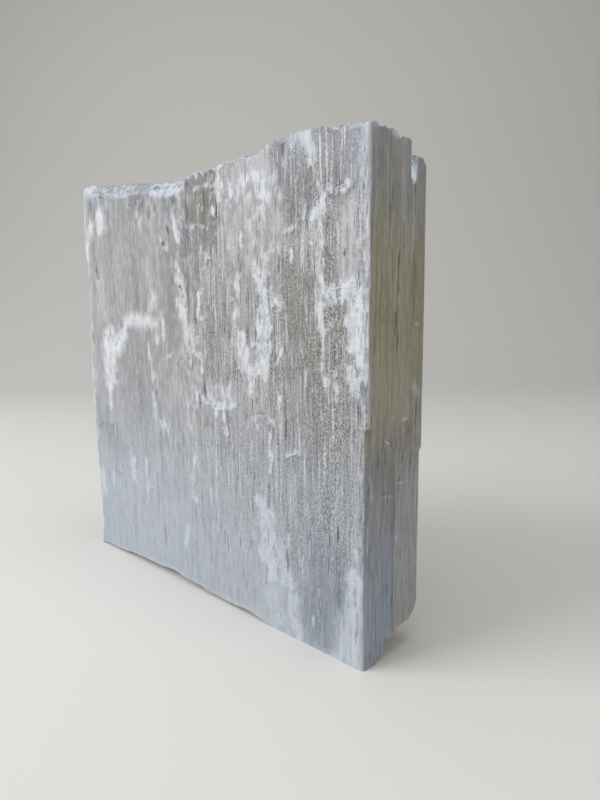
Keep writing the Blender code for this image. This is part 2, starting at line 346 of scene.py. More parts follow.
def crystalTop(x, y):
    # the broken fibre ends: the top line, less the crushed slope in front, the fall to the rear
    # and each fibre's own break
    c = crystal
    wavering = c["topWaver"] * mm * (softNoise(x, y, 3 * mm, 7 * mm, 3) - 0.5)
    height = keyed(c["topLine"], x + wavering)
    slope = 1 - np.clip(y / keyed(c["crushedDepth"], x), 0, 1)
    height -= keyed(c["crushedFall"], x) * slope**2
    shelfFrom, shelfTo = (edge * mm for edge in c["shelf"])
    share = np.where(y < shelfTo, c["shelfShare"], 1.0) * (y > shelfFrom)
    height -= share * keyed(c["rearFall"], x)
    slopeFrom, slopeFall = (number * mm for number in c["shelfSlope"])
    onShelf = (y > shelfFrom) & (y < shelfTo)
    height -= onShelf * slopeFall * np.clip((x - slopeFrom) / (blockSize[0] - slopeFrom), 0, 1)
    bundles, fibres, crumbs, average = c["rag"]
    rag = bundles * fibreNoise(x, y, 7.3 * mm, 9 * mm, 12) + fibres * fibreNoise(y, x, 3.1 * mm, 4 * mm, 14)
    rag += crumbs * softNoise(x, y, 1.7 * mm, 1.7 * mm, 15) - average
    notch = c["notch"] * mm
    crumpled = slope * (x < notch) * c["crumple"] * (softNoise(x, y, 13 * mm, 2.0 * mm, 16) - 0.35)
    chipped = (x > notch) * ease(3 * mm, 0, y) * c["chip"] * softNoise(x, y, 5.5 * mm, 9 * mm, 17) ** 2
    teeth = keyed(c["endTeeth"], y) / mm * ease(14 * mm, 4 * mm, blockSize[0] - x)
    roundFrom, roundTo, roundFall = c["rearRound"]
    rounded = roundFall * ease(roundFrom * mm, roundTo * mm, y) ** 2
    crestFull, crestGone, crestBack = (edge * mm for edge in c["crest"])
    isCrest = ease(crestGone, crestFull, x) * (y < crestBack)
    calm = c["calmCorner"] * mm
    nearCorner = np.exp(-np.hypot((x - blockSize[0]) / calm, y / calm) ** 2)
    rag *= (1 - 0.8 * isCrest) * (1 - 0.8 * nearCorner)
    return height - (rag + crumpled + chipped + teeth + rounded) * mm


def crystalFoot(x, y):
    # height of the foot above the ground: the chipped front edge and the broken corner, 0 where it rests
    c = crystal
    chip = keyed(c["footLine"], x) * (1 - np.clip(y / (c["footChipDepth"] * mm), 0, 1))
    cornerFrom, cornerFull = (edge * mm for edge in c["cornerReach"])
    ragged = 1 + 0.25 * (softNoise(x, y, 3 * mm, 3 * mm, 21) - 0.5)
    nearCorner = np.clip((x - cornerFrom) / (cornerFull - cornerFrom), 0, 1)
    corner = keyed(c["cornerLine"], y) * nearCorner * ragged
    return np.maximum(chip, corner)


def flaked(flakes, u, z, seed, edge=0.35):
    # depth of the flakes at each point: full inside, 0 outside, each fibre breaking off at its own height
    depth = np.zeros_like(u)
    ragged = 5.0 * mm * (fibreNoise(u, z * 0, 1.9 * mm, 1, seed) - 0.5)
    waver = 1.2 * mm * (softNoise(u, z, 9 * mm, 22 * mm, seed + 1) - 0.5)
    for left, right, low, high, lost in flakes:
        inside = np.minimum(u + waver - left * mm, right * mm - u - waver)
        along = np.minimum(z + ragged - low * mm, high * mm + ragged - z)
        depth += lost * mm * ease(-edge * mm, edge * mm, np.minimum(inside, along))
    return depth


def fibreRelief(u, z, seed, pitch=1.0):
    # three widths of broken fibres on a slow swell, metres
    coarse, middle, fine, swell = crystal["fibres"]
    relief = coarse * fibreNoise(u, z, 3.7 * pitch * mm, 75 * mm, seed)
    relief += middle * fibreNoise(u, z, 2.3 * pitch * mm, 38 * mm, seed + 1)
    relief += fine * softNoise(u, z, 1.9 * pitch * mm, 26 * mm, seed + 2)
    relief += swell * softNoise(u, z, 38 * mm, 90 * mm, seed + 3)
    return relief * mm


def bladeDepth(x, z, column, seed):
    # the blade's own depth, coming and going along its height, with a groove where it meets the next one
    blades = np.array(crystal["blades"], float)
    edges = blades[:, 0] * mm
    x = x + 1.5 * mm * (softNoise(x, z, 40 * mm, 48 * mm, seed) - 0.5) * (x > 4 * mm)
    index = np.clip(np.searchsorted(edges, x, side="right") - 1, 0, len(edges) - 1)
    right = np.append(edges[1:], blockSize[0])[index]
    place = 2 * (x - edges[index]) / (right - edges[index]) - 1
    comes = ease(0.25, 0.75, softNoise(index * 1.0, z, 0.73, 46 * mm, seed + 1))
    return comes * (blades[index, column] * mm + crystal["groove"] * mm * np.abs(place) ** 5)


def frontDepth(x, z):
    # how far the front lies behind the block's skin: blades, flakes, fibres and scoop,
    # less the blisters and bruises, plus the pits and clear places; less of it all by the left edge
    c = crystal
    listed = frontMarks(x, z)
    # the strongest bruises are flatter, and so is the lower left
    smooth = 1 - 0.85 * ease(1.15, 1.45, listed["bruises"])
    depth = 0.55 * smooth * bladeDepth(x, z, 1, 30) + flaked(c["frontFlakes"], x, z, 31)
    calm = smooth * (1 - 0.55 * ease(110 * mm, 30 * mm, z) * ease(150 * mm, 60 * mm, x))
    depth += (fibreRelief(x, z, 34) - 0.5 * mm) * calm
    scoopX, scoopZ, halfWidth, scoopHeight, scoopDepth = (number * mm for number in c["scoop"])
    lipEnds, lipDroop = (number * mm for number in c["scoopLip"])
    overhang = 1 - ((x - scoopX) / halfWidth) ** 2
    scoop = overhang - ((z - scoopZ) / scoopHeight) ** 2
    depth += scoopDepth * np.sqrt(np.clip(scoop, 0, 1)) * (z > lipEnds - lipDroop * overhang)
    reach, rise = (number * mm for number in c["blisterSize"])
    for right, up in c["blisters"]:
        depth -= rise * np.exp(-(((x - right * mm) ** 2 + (z - up * mm) ** 2) / reach**2))
    raised, sunk, cleared = (number * mm for number in c["markRelief"])
    depth -= raised * ease(0.35, 0.85, listed["bruises"]) - sunk * ease(0.45, 0.9, listed["pits"])
    depth += cleared * ease(0.4, 0.9, listed["clear"])
    return depth * (0.3 + 0.7 * ease(1 * mm, 15 * mm, x))


def backDepth(x, z):
    # how far the back lies in front of the block's rear skin: blades, flakes, fibres, one splinter lost
    right, below, lost = (number * mm for number in crystal["rearSplinter"])
    depth = bladeDepth(x, z, 2, 40) + flaked(crystal["backFlakes"], x, z, 41) + fibreRelief(x, z, 44, 1.3)
    nearEnd = 1 - 0.8 * ease(30 * mm, 5 * mm, blockSize[0] - x)
    return depth * nearEnd + lost * ((x > right) & (z < below))


def leftDepth(y, z):
    # how far the left end lies inside the block: its line, with ledges and fibres behind the front edge
    c = crystal
    behind = ease(0, 12 * mm, y)
    ledges = 1.6 * mm * fibreNoise(y, z, 6.5 * mm, 90 * mm, 50) + keyed(c["leftLamellae"], y) * 0.8
    relief = (0.25 + 0.75 * behind) * fibreRelief(y, z, 51)
    return np.maximum(keyed(c["leftLine"], z) + behind * ledges + relief - 0.9 * mm, 0)


def rightDepth(y, z):
    # how far the right end lies inside the block: before the main parting what is lost below its ledge,
    # behind it the lamellae, then the recess, the fibres and the hollows
    c = crystal
    mainParting = c["partings"][2] * mm
    lamella = keyed(c["rightLamellae"], y) * (y > mainParting)
    ledge = c["rightLedge"] * mm
    below = np.where(y < 4 * mm, z < ledge, ease(ledge + 6 * mm, ledge - 34 * mm, z))
    lost = keyed(c["rightLost"], y) * (y < mainParting) * below
    fromY, toY, above, deep, shallow = (number * mm for number in c["recess"])
    inRecess = (y > fromY) & (y < toY)
    recess = (shallow + (deep - shallow) * ease(above - 5 * mm, above + 12 * mm, z)) * inRecess
    relief = 0.45 * fibreRelief(y, z, 61, 0.8) - 0.15 * mm
    return lamella + lost + recess + relief + flaked(c["endFlakes"], y, z, 65, 0.5)


def worn(distance, radius):
    # how far a face falls away next to a worn edge: most at the edge itself, nothing at the radius
    return crystal["wear"] * radius * np.clip(1 - distance / radius, 0, 1) ** 2


def crystalShape(x, y, z):
    # every point of the plain block moves in by the depth of its own side, less towards the other sides
    width, thickness, height = blockSize
    endReach, topReach, footReach = (crystal[key] * mm for key in ("endReach", "topReach", "footReach"))
    byFoot = 1 - np.clip(z / footReach, 0, 1)
    byTop = np.clip((z - height) / topReach + 1, 0, 1)
    newZ = z + byFoot * crystalFoot(x, y) - byTop * (height - np.minimum(crystalTop(x, y), height))
    byLeft = 1 - np.clip(x / endReach, 0, 1)
    byRight = np.clip((x - width) / endReach + 1, 0, 1)
    across = y / thickness
    nearWear = (0.6 + 1.6 * softNoise(newZ, newZ * 0, 9 * mm, 1, 70) ** 2) * mm
    farWear = (0.6 + 1.2 * softNoise(newZ, newZ * 0, 14 * mm, 1, 71)) * mm
    shiftX = byLeft * (leftDepth(y, newZ) + worn(y, farWear))
    shiftX -= byRight * (rightDepth(y, newZ) + worn(y, nearWear))
    fromNearEdge = np.where(across < 0.5, width - x, 1.0)
    fromLeft = np.where(across < 0.5, x, 1.0)
    shiftY = (1 - across) * (frontDepth(x, newZ) + worn(fromNearEdge, nearWear) + worn(fromLeft, farWear))
    shiftY -= across * backDepth(x, newZ)
    points = np.stack([x + shiftX, y + shiftY, newZ], -1)
    return np.clip(points, 0, blockSize)


# where the slab is bruised, clear, shaded, milky, painted bluer as a sky reflection, grainy, flecked, and
# pitted with painted shade
# strokes on the front: from (right, up) to (right, up), half width, all in mm, and strength
marks = {
    "bruises": [
        # crushed rim and left edge
        (2, 265, 14, 266, 4, 1), (14, 242, 9, 236, 3.8, 0.86), (5, 228, 5, 220, 3.4, 0.76),
        (2, 60, 2, 250, 2.6, 0.72), (25, 246, 25.5, 241, 4.4, 1.15), (23.5, 237, 24, 240, 2.4, 1.1),
        (24, 252, 24, 261, 0.8, 0.55), (71, 243, 77, 231, 2.2, 0.42), (83, 182, 89, 188, 4, 0.72),
        # the hook
        (27, 160, 26, 146, 5.4, 1.2), (25, 146, 26, 128, 4.6, 1.25), (34, 150, 31, 138, 4.4, 1.1),
        (30, 156, 44, 158, 4.6, 1.15), (26, 126, 27, 111, 2.8, 1.05), (30, 130, 37, 129, 2, 0.85),
        (27, 109, 26, 99, 1.8, 0.68), (34, 166, 36, 153, 3.3, 0.92), (41, 155, 43, 159, 4.2, 1.2),
        (44, 161, 50, 165, 3.2, 1.15), (50, 167, 53, 172, 2.8, 0.87), (53, 173, 62, 174.5, 2.9, 0.9),
        (62, 175, 74, 173, 3.5, 0.92), (74, 172, 84, 174, 3.6, 0.88), (84, 172, 90, 173, 3.2, 0.85),
        (80, 160, 80.5, 149, 1, 0.88), (98, 173, 98, 163, 1.7, 1.1), (95, 178, 92, 172, 2, 0.7),
        (90, 162, 91, 161, 1.7, 1.4),
        # the chain down the middle
        (114, 236, 116.5, 223, 1.9, 1.2), (115, 207, 117, 204, 1.5, 0.8), (114.5, 200, 120, 195, 2.9, 0.98),
        (121, 195, 123, 191, 1.9, 0.75), (117.5, 186, 121, 178, 2.8, 1.12), (122, 177, 123, 172, 1.6, 0.85),
        (122.5, 166, 128, 162, 3.3, 1.12), (133, 163, 133, 161, 1.5, 1.15), (136, 188, 136, 182, 2.8, 0.74),
        (134, 178, 139, 175, 2.8, 0.6), (98, 226, 99.5, 224, 1.5, 0.7), (103.5, 219, 105, 218, 1.5, 0.76),
        (99.5, 149, 107.5, 153.5, 0.9, 0.8), (121, 150, 126, 149.5, 1, 0.95),
        (127, 154, 130, 157, 1.6, 0.9), (130, 156, 134, 153, 1.3, 1.1), (135, 146, 137, 144, 1.7, 0.6),
        (130.5, 135, 130, 122, 1.1, 0.8), (128, 121, 131, 121.5, 1.5, 0.9), (122, 121, 121, 116, 1.2, 0.9),
        (126, 110, 124, 107, 1.2, 0.45), (134, 249.5, 142, 251, 0.9, 0.8), (142, 251, 154, 250, 0.9, 0.72),
        (131, 229, 138, 230.5, 0.9, 0.6), (138, 230, 145, 227.5, 0.9, 0.55), (147, 229, 152, 229, 0.7, 0.3),
        (149.5, 237.5, 150.5, 234.5, 1.5, 1.05), (156.5, 259, 156, 241, 1.9, 1),
        (143, 212, 146, 211, 2.2, 0.36), (192, 238, 194, 216, 9, 0.36),
        # scaly and milky patches right of the middle
        (176, 252, 181, 247, 2.6, 0.7), (190, 246, 193, 241, 3.6, 1.15), (187, 249, 197, 246, 2.8, 0.8),
        (165, 256, 200, 258, 2.6, 0.2), (165, 248, 172, 240, 4, 0.62), (175, 222, 175, 215, 2.4, 0.58),
        (171.5, 198, 171.5, 189, 1.8, 1.25), (168, 184, 169, 167, 1.6, 0.9),
        (173.5, 164, 175, 151, 3.7, 1.1), (187, 201, 190.5, 195, 2.6, 1.2), (185, 205, 187, 201, 1.6, 0.8),
        (189, 190, 193, 186, 3, 0.9), (198, 187, 206, 185, 2.1, 1.25), (192, 181, 193, 172, 4.4, 1.15),
        (192, 169, 192, 164, 3, 1.15), (190, 158, 191, 153, 4.8, 1.32), (187.5, 151, 189, 148, 2.4, 1.15),
        (183, 144, 183, 135, 3, 0.75), (205, 160, 203, 153, 1.3, 0.5), (219.5, 159, 220.5, 157, 1, 0.85),
        (222.5, 148, 221.5, 140, 1, 0.45), (202, 133, 203, 131, 1.3, 0.92),
        (213.5, 208, 213.5, 205, 1.7, 1.15), (222, 228, 222, 225, 1.3, 1.15),
        # the long streak, its ledge and the near edge
        (212.5, 260, 215.5, 261, 2.2, 0.9), (224, 261, 227, 254.5, 3, 1.5),
        (228.5, 256, 228.5, 251, 1.9, 1.4), (209, 219.5, 214, 221.5, 1.5, 0.62),
        (227.5, 226, 227.5, 204, 1.5, 0.82), (232.8, 235, 234, 226, 2.3, 1.15),
        (232, 227, 232, 212, 2.6, 1.02), (231.5, 212, 232, 196, 2.1, 0.95),
        (232.5, 193, 232.5, 172, 2.3, 1.15), (233.5, 170, 234, 160, 1.2, 0.55),
        (233, 157, 236, 142, 2.2, 0.66), (236, 234.5, 252, 237, 1.5, 0.8), (238, 188, 246, 188, 3.4, 0.95),
        (246, 190, 262, 189, 2.7, 1), (255.8, 185, 257, 163, 5.4, 1.6), (252, 188, 252.5, 172, 2.4, 1.25),
        (259.5, 188, 259.5, 164, 2.2, 1.5), (252, 150, 253, 143, 2.8, 1.05),
        (255.2, 146, 256.2, 140, 2, 1.25), (259, 137, 259.5, 127, 1.4, 0.72),
        (256, 149.5, 261, 148, 1.5, 1.1), (260.5, 240, 261, 234, 1.7, 1.4),
        (258.5, 221, 258.5, 209, 1.4, 0.4), (241.5, 149, 243, 134, 1.3, 0.68),
        (260.6, 262, 260.6, 150, 1.5, 0.8), (259, 122, 258.5, 52, 1.2, 0.4),
        # crescent chip, brackets and what hangs below them
        (135, 126, 146, 124.5, 1.1, 1.25), (146, 124.5, 158, 123, 1.1, 1.2), (158, 123, 168, 126, 1, 1),
        (143, 130, 162, 129, 3.6, 0.56), (149, 121, 148, 90, 1.2, 0.8), (148, 90, 148.5, 46, 1, 0.7),
        (156, 117, 158, 108, 1.8, 0.85), (183, 121, 190, 122, 0.9, 0.9),
        (182.5, 120, 184.5, 113, 1.2, 0.95), (193, 120, 198, 121, 1.2, 1.15),
        (195, 111, 196, 92, 1.5, 0.95), (208, 103.3, 216.5, 105.5, 1.1, 1.25),
        (217, 106, 217, 118, 0.7, 0.85), (91, 104, 99, 104, 4.2, 0.62), (83, 148, 85, 102, 3.2, 0.56),
        # lower part
        (54, 74, 54, 61, 3.2, 1.08), (57, 60, 57, 53, 1.5, 0.7), (70.5, 78, 71, 48, 2, 0.8),
        (72, 60, 80, 59, 1.5, 0.7), (25.5, 60, 25, 52, 2.3, 0.9), (36, 67, 37, 65, 2, 0.92),
        (8, 57, 9.5, 44, 3.8, 1.36), (116, 38, 113, 30, 3, 1), (127, 88, 124, 78, 1.8, 0.85),
        (124, 78, 122, 68, 2.1, 1.12), (124, 64, 126.5, 60, 2, 1.35), (141.5, 71, 141.5, 62, 1.4, 0.92),
        (148.5, 47, 148.5, 44, 1.2, 0.85), (150.5, 17, 151, 14, 1.4, 1.1), (188, 70, 190, 60, 3.4, 0.95),
        (196, 72, 196, 60, 3, 0.85), (184, 80, 187, 70, 2.2, 0.62), (192, 57, 194, 32, 5.5, 1.2),
        (203, 47, 205, 34, 4.6, 1.12), (196, 28, 201, 0, 9, 0.76), (210, 29, 212, 10, 3.6, 1.3),
        (213, 10, 215.5, 2, 3.2, 1.2), (209, 57, 209, 56, 1.6, 1.3), (226.5, 17, 226.5, 12, 0.9, 1.15),
        (254.5, 47, 254, 22, 3.8, 1.26), (253, 28, 253, 0, 5, 1.08), (247, 22, 247, 0, 5, 0.72),
        (255, 62, 255.5, 50, 1.1, 0.95),
    ],
    "clear": [
        (139, 247, 139, 234, 8, 2.8), (148.5, 257, 149, 232, 5.5, 2.7), (146, 224, 148, 217, 6.5, 1.25),
        (124, 222, 125, 192, 5.5, 0.75), (107, 214, 107, 165, 9, 0.55), (67, 226, 68, 184, 10, 0.5),
        (15, 226, 16, 214, 5, 0.5), (16, 257, 18, 242, 6, 0.55), (74, 253, 80, 250, 5, 0.7),
        (30, 214, 34, 190, 6, 0.35), (113, 246, 114, 242, 4, 0.85), (213.5, 246, 213.5, 224, 3.6, 0.8),
        (224, 240, 225, 229, 4.5, 0.9), (200, 200, 203, 172, 5, 0.5), (212, 200, 212, 150, 7, 0.95),
        (222, 195, 222, 165, 6, 1), (237.5, 220, 237.5, 192, 2.6, 1.5), (243, 183, 243, 152, 6, 1),
        (147, 186, 147, 142, 7, 0.7), (160, 214, 160, 172, 6, 0.58), (228, 150, 230, 88, 18, 0.85),
        (134, 210, 133, 196, 6, 0.85), (199, 168, 200, 132, 4, 0.95), (150, 120, 190, 70, 16, 0.45),
        (170, 150, 170, 143, 2, 1.2), (196.5, 118, 197, 113, 2, 1.6), (178, 214, 178, 200, 4, 0.5),
        (34, 232, 36, 222, 7, 0.45), (247, 116, 248, 60, 7, 0.65), (217, 180, 220, 150, 8, 1.15),
    ],
    "shade": [
        (15, 248, 120, 244, 9, 0.5), (40, 232, 118, 228, 10, 0.36), (64, 142, 70, 116, 20, 0.56),
        (16, 98, 34, 86, 14, 0.48), (98, 138, 100, 112, 8, 0.3), (240, 258, 242, 243, 9, 1.55),
        (213.5, 250, 213.5, 226, 5, 1.75), (223, 247, 224, 229, 5, 1.7), (205, 262, 206, 246, 3.8, 1.8),
        (230, 52, 230, 18, 15, 0.88), (243, 58, 243, 30, 5, 1.2), (222, 66, 226, 60, 12, 0.5),
        (8, 116, 10, 95, 7, 0.5), (236, 130, 238, 80, 14, 0.45), (28, 260, 29, 257, 3, 0.8),
        (13, 256, 16, 250, 5, 0.8), (47, 246, 50, 238, 4, 0.5), (70, 254, 78, 251, 4.8, 1.2),
        (91, 250, 93, 244, 3.8, 0.8), (105, 247, 107, 240, 3, 1), (108, 240, 107, 229, 2.2, 1),
        (38, 251, 38, 243, 1.8, 0.8), (49, 250, 49, 237, 1.8, 0.7), (64, 247, 64, 234, 2, 0.9),
        (73, 248, 72, 239, 2.2, 0.9), (88, 251, 88, 238, 2.2, 0.95), (97, 247, 96, 236, 1.6, 0.7),
        (114, 248, 114, 240, 2.6, 1.4), (126, 256, 127, 216, 4.5, 1.25), (258.6, 118, 258.6, 56, 0.9, 0.9),
        # the stroke from (260, 145.5) to (260.5, 137.5) is painted shadow in the chip below the flap
        (250, 257, 250, 246, 4.5, 1.5), (260, 145.5, 260.5, 137.5, 1.6, 1.1), (6, 60, 6, 56, 2, 0.3),
        (131.5, 258, 131.5, 230, 1.2, 0.9),
    ],
    "milk": [
        (192, 244, 194, 212, 9, 1.25), (202, 244, 202, 222, 5, 1.5), (248, 231, 249, 196, 7, 0.72),
        (165, 238, 166, 216, 7, 0.75), (182, 228, 184, 206, 6, 0.85), (20, 205, 21, 180, 8, 0.85),
        (38, 256, 41, 240, 3, 0.7), (60, 258, 62, 240, 2.6, 0.6), (83, 256, 85, 240, 3, 0.7),
        (98, 250, 98, 238, 2.4, 1), (182, 254, 184, 244, 14, 0.9), (82, 212, 84, 192, 5, 0.6),
        (134, 136, 120, 100, 9, 0.6), (142, 130, 163, 129, 5, 1.1), (4, 255, 4, 90, 4, 1),
    ],
    # painted sky reflection: where the front is painted bluer than its height would make it, along its near
    # edge and its top
    "skyReflection": [
        (259, 264, 259, 240, 6, 1.2), (261, 240, 261, 150, 2.2, 1.1), (212, 262, 228, 258, 5, 0.7),
        # the stroke from (260, 147) to (260, 136) paints the chip's shadow blue
        (8, 262, 18, 258, 6, 0.6), (260, 147, 260, 136, 2.5, 1.3),
    ],
    "grain": [
        (152, 205, 160, 100, 26, 0.9), (200, 200, 205, 95, 22, 1), (238, 225, 240, 80, 22, 1.25),
        (215, 80, 215, 50, 30, 0.8), (165, 255, 200, 256, 10, 0.9), (240, 260, 238, 240, 12, 1.05),
        (214, 252, 214, 224, 7, 1.2), (223, 250, 224, 228, 6, 1.1), (105, 145, 100, 60, 22, 0.35),
        (65, 110, 65, 75, 20, 0.25), (145, 75, 145, 40, 25, 0.4), (139, 246, 146, 222, 9, 0.8),
        (180, 70, 180, 40, 18, 0.6), (170, 145, 180, 80, 24, 0.85), (130, 165, 130, 70, 18, 0.5),
        (74, 105, 66, 80, 14, 0.4),
    ],
    "flecks": [
        (120, 250, 118, 190, 12, 0.9), (165, 235, 160, 150, 26, 1.1), (192, 230, 190, 120, 17, 1),
        (225, 230, 228, 60, 18, 0.5), (245, 235, 240, 110, 14, 0.5), (130, 180, 126, 110, 14, 0.9),
        (186, 110, 186, 60, 18, 0.8), (60, 262, 90, 240, 10, 0.8), (95, 130, 90, 60, 14, 0.55),
    ],
    # pits: small hollows and thin lines at steps, painted dark: painted shade
    "pits": [
        (16, 211.5, 18, 204.5, 1.4, 1), (26, 259.5, 30, 259, 1.3, 0.7), (100.5, 222, 103, 221, 1.4, 0.85),
        (106, 231, 107, 228, 1, 1), (117, 194.5, 120, 193.5, 0.8, 1.1), (194, 220, 194, 219.5, 0.5, 0.9),
        (195, 214, 195, 213.5, 0.5, 0.9), (189.8, 199.6, 190.4, 197.8, 0.6, 1.3),
        (148, 167.5, 148.5, 166, 1, 0.95), (195, 173, 198.5, 174.5, 0.6, 0.65),
        (5, 114.5, 10, 112.5, 1.6, 0.6), (8, 94, 15, 98.5, 1.8, 0.62), (167.5, 152, 170, 146, 1.4, 0.66),
        (55, 255, 59, 253, 1, 0.45), (188, 161, 193, 161, 0.5, 0.75), (54, 190, 57, 189.5, 0.8, 0.8),
        (138, 139, 138, 130, 0.7, 1.15), (247, 207, 247, 205, 0.9, 1.15), (63, 250, 66, 249, 1, 0.85),
        (185, 60, 185, 52, 0.6, 0.6), (208, 252, 208.3, 223, 0.5, 0.55), (153.8, 256, 154, 232, 0.7, 1),
        (43, 246, 42, 240, 1.4, 0.62),
    ],
    # strokes on the right end: from (back, up) to (back, up), half width, strength
    "endBruises": [
        # the stroke in the recess, from back 35.4 to 36.6, is so strong that it takes the sky-lit white:
        # painted sky light
        (15, 264, 21, 261, 2.2, 1.1), (1, 262, 6, 261, 1.6, 0.9), (35.4, 258, 36.6, 243, 1.5, 3.6),
        (36, 238, 36.5, 206, 1.5, 0.55), (18, 261, 21, 261, 1.6, 1.3), (28, 125, 33, 125.5, 1, 0.7),
        (32, 134, 33, 131, 1, 0.8), (39, 141, 43, 137, 2, 0.7), (19, 127, 22.5, 127, 0.8, 0.42),
        (12, 87.5, 21, 87, 0.9, 0.55), (24, 93, 34, 92, 0.8, 0.55), (4, 99, 6, 88, 0.9, 0.6),
        (15, 231, 16.5, 229, 0.9, 0.6), (28, 255, 28.5, 248, 0.9, 0.7), (27, 183, 29, 180, 0.9, 0.6),
        (40, 172.5, 42, 172, 1, 0.7), (30, 148, 30, 138, 0.7, 0.75), (0.5, 150, 0.5, 126, 1.2, 0.9),
        (0.3, 262, 0.3, 150, 0.6, 0.5), (0.3, 120, 0.3, 8, 0.5, 0.6), (27, 262, 27.5, 222, 3, 0.5),
        (2, 262, 2, 236, 2, 0.38), (28.5, 108, 28.5, 100, 0.6, 0.75), (3, 75, 3, 60, 0.7, 0.7),
        (24, 66, 24, 60, 0.6, 0.85),
    ],
    # slots, hollows and a parting's line on the end, painted dark: painted shade
    "endPits": [
        (22.5, 178, 23, 160, 0.8, 0.95), (24, 206, 24, 186, 1, 0.8), (37, 165, 37.2, 100, 0.7, 0.75),
        (16, 231, 17, 228, 0.9, 0.72), (15.5, 113, 15.5, 104, 0.7, 0.95), (30, 112, 30, 98, 0.9, 1),
        (41, 134, 41.5, 108, 1, 0.85), (20, 178, 21, 164, 0.6, 0.85), (37.6, 240, 37.6, 200, 0.5, 0.75),
        (23.6, 120, 23.6, 20, 0.5, 0.75),
    ],
}


def stroked(strokes, u, z, frayU=0.0, frayZ=0.0):
    # strength on each stroke's line, half of it on the outline, nothing at twice the width
    # ends reach further along the fibres, and wide strokes are frayed more than thin ones
    strongest = np.zeros_like(u)
    squash = 0.75
    fullyFrayed = 3.4  # half width of the strokes that are frayed in full, mm
    for fromU, fromZ, toU, toZ, halfWidth, strength in strokes:
        frayed = min(halfWidth / fullyFrayed, 1)
        a = (u + frayed * frayU) / mm - fromU
        b = ((z + frayed * frayZ) / mm - fromZ) * squash
        du, dv = toU - fromU, (toZ - fromZ) * squash
        along = np.clip((a * du + b * dv) / max(du * du + dv * dv, 0.01), 0, 1)
        distance = np.hypot(a - along * du, b - along * dv) / halfWidth
        strongest = np.maximum(strongest, strength * np.clip(1 - distance / 2, 0, 1))
    return strongest


def frontMarks(x, z):
    # the named marks of the front, their outlines frayed by moving each point a little first:
    # less so low down and on the left
    frayed = (0.45 + 0.55 * ease(85 * mm, 130 * mm, x) * ease(20 * mm, 70 * mm, z)) * mm
    u = 2.5 * softNoise(x, z, 4.2 * mm, 6 * mm, 90) + 2.1 * softNoise(x, z, 1.8 * mm, 3 * mm, 91)
    v = 3.4 * softNoise(x, z, 3.4 * mm, 6 * mm, 92) + 1.4 * fibreNoise(x, z, 1.5 * mm, 12 * mm, 93)
    u, v = frayed * (u - 2.3), frayed * (v - 2.4)
    frayedKeys = ("bruises", "clear", "shade", "milk", "skyReflection", "grain", "flecks")
    values = {key: stroked(marks[key], x, z, u, v) for key in frayedKeys}
    values["pits"] = stroked(marks["pits"], x, z)
    return values


def crystalMarks(x, y, z, place):
    # named numbers a point: from the lists on the front and the right end, from noise on the other sides,
    # with whiter broken fibre along the rim, the foot and the tips, and painted sky light on the shelf's
    # tips; x, y, z are places on the plain block
    width, height = blockSize[0], blockSize[2]
    px, py, pz = place.T
    front = y == 0
    end, left = (x == width) & ~front, (x == 0) & ~front
    tips, under = (z == height) & ~front, (z == 0) & ~front
    cloud = softNoise(px + py, pz, 13 * mm, 46 * mm, 80)
    broadCloud = softNoise(px - py, pz, 26 * mm, 60 * mm, 81)
    none = np.zeros_like(x)
    plain = {
        "bruise": 1.15 * cloud**3,
        "clear": 0.8 * broadCloud,
        "shade": 0.4 * cloud,
        "milk": 0.6 * (1 - broadCloud),
        # on the other sides the painted bluish reflection lies in broad clouds
        "skyReflection": 0.5 * broadCloud,
        "grain": 0.8 * softNoise(px, pz, 40 * mm, 50 * mm, 82),
        "fleck": 0.8 * cloud,
        "pit": none,
    }
    onFront = dict(zip(plain, frontMarks(px, pz).values()))  # the same eight, in the same order
    onEnd = {
        "bruise": stroked(marks["endBruises"], py, pz),
        "clear": 0.55 * broadCloud,
        "shade": none,
        "milk": 0.4 * cloud,
        "skyReflection": none,
        "grain": 0.10 * cloud,
        "fleck": 0.1 * cloud,
        "pit": stroked(marks["endPits"], py, pz),
    }
    values = {key: np.where(front, onFront[key], np.where(end, onEnd[key], plain[key])) for key in plain}
    below = height - z
    leftOfNotch = ease(130 * mm, 120 * mm, x)
    crushed = ease(4.5 * mm, 0.5 * mm, below) * leftOfNotch * front
    whiteRim = np.maximum(ease(26 * mm, 16 * mm, x), ease(84 * mm, 94 * mm, x))  # whiter at both its ends
    whiteRim = 0.08 + 0.55 * whiteRim + 0.36 * softNoise(x, y, 6 * mm, 9 * mm, 87) ** 2 * (1 - whiteRim)
    lip = ease(5 * mm, 0.5 * mm, below) * front * softNoise(x, y, 7 * mm, 9 * mm, 84)
    foot = ease(6 * mm, 1 * mm, z) * front * (0.35 + 0.4 * softNoise(x, y, 9 * mm, 9 * mm, 85))
    values["bruise"] = np.maximum.reduce([values["bruise"], whiteRim * crushed, 0.62 * lip, foot])
    whiter = 0.10 + 0.30 * ease(80 * mm, 100 * mm, x) + 0.55 * ease(20 * mm, 5 * mm, x)
    shelfFrom, shelfTo = (edge * mm for edge in crystal["shelf"])
    onShelf = (y > shelfFrom) & (y < shelfTo + 0.1 * mm) & (x > 245 * mm)
    # the shelf's tips get so strong a bruise that they take the sky-lit white: painted sky light in the
    # shaded slot
    tipBruise = whiter + 0.50 * softNoise(px, py, 15 * mm, 2.0 * mm, 86) + 2.4 * onShelf
    values["bruise"] = np.where(tips, tipBruise, values["bruise"])
    values["grain"] = np.where(tips | under, 0.9, values["grain"])
    values["ends"] = (end | left).astype(float)
    values["tips"] = np.maximum(tips, crushed)
    return values


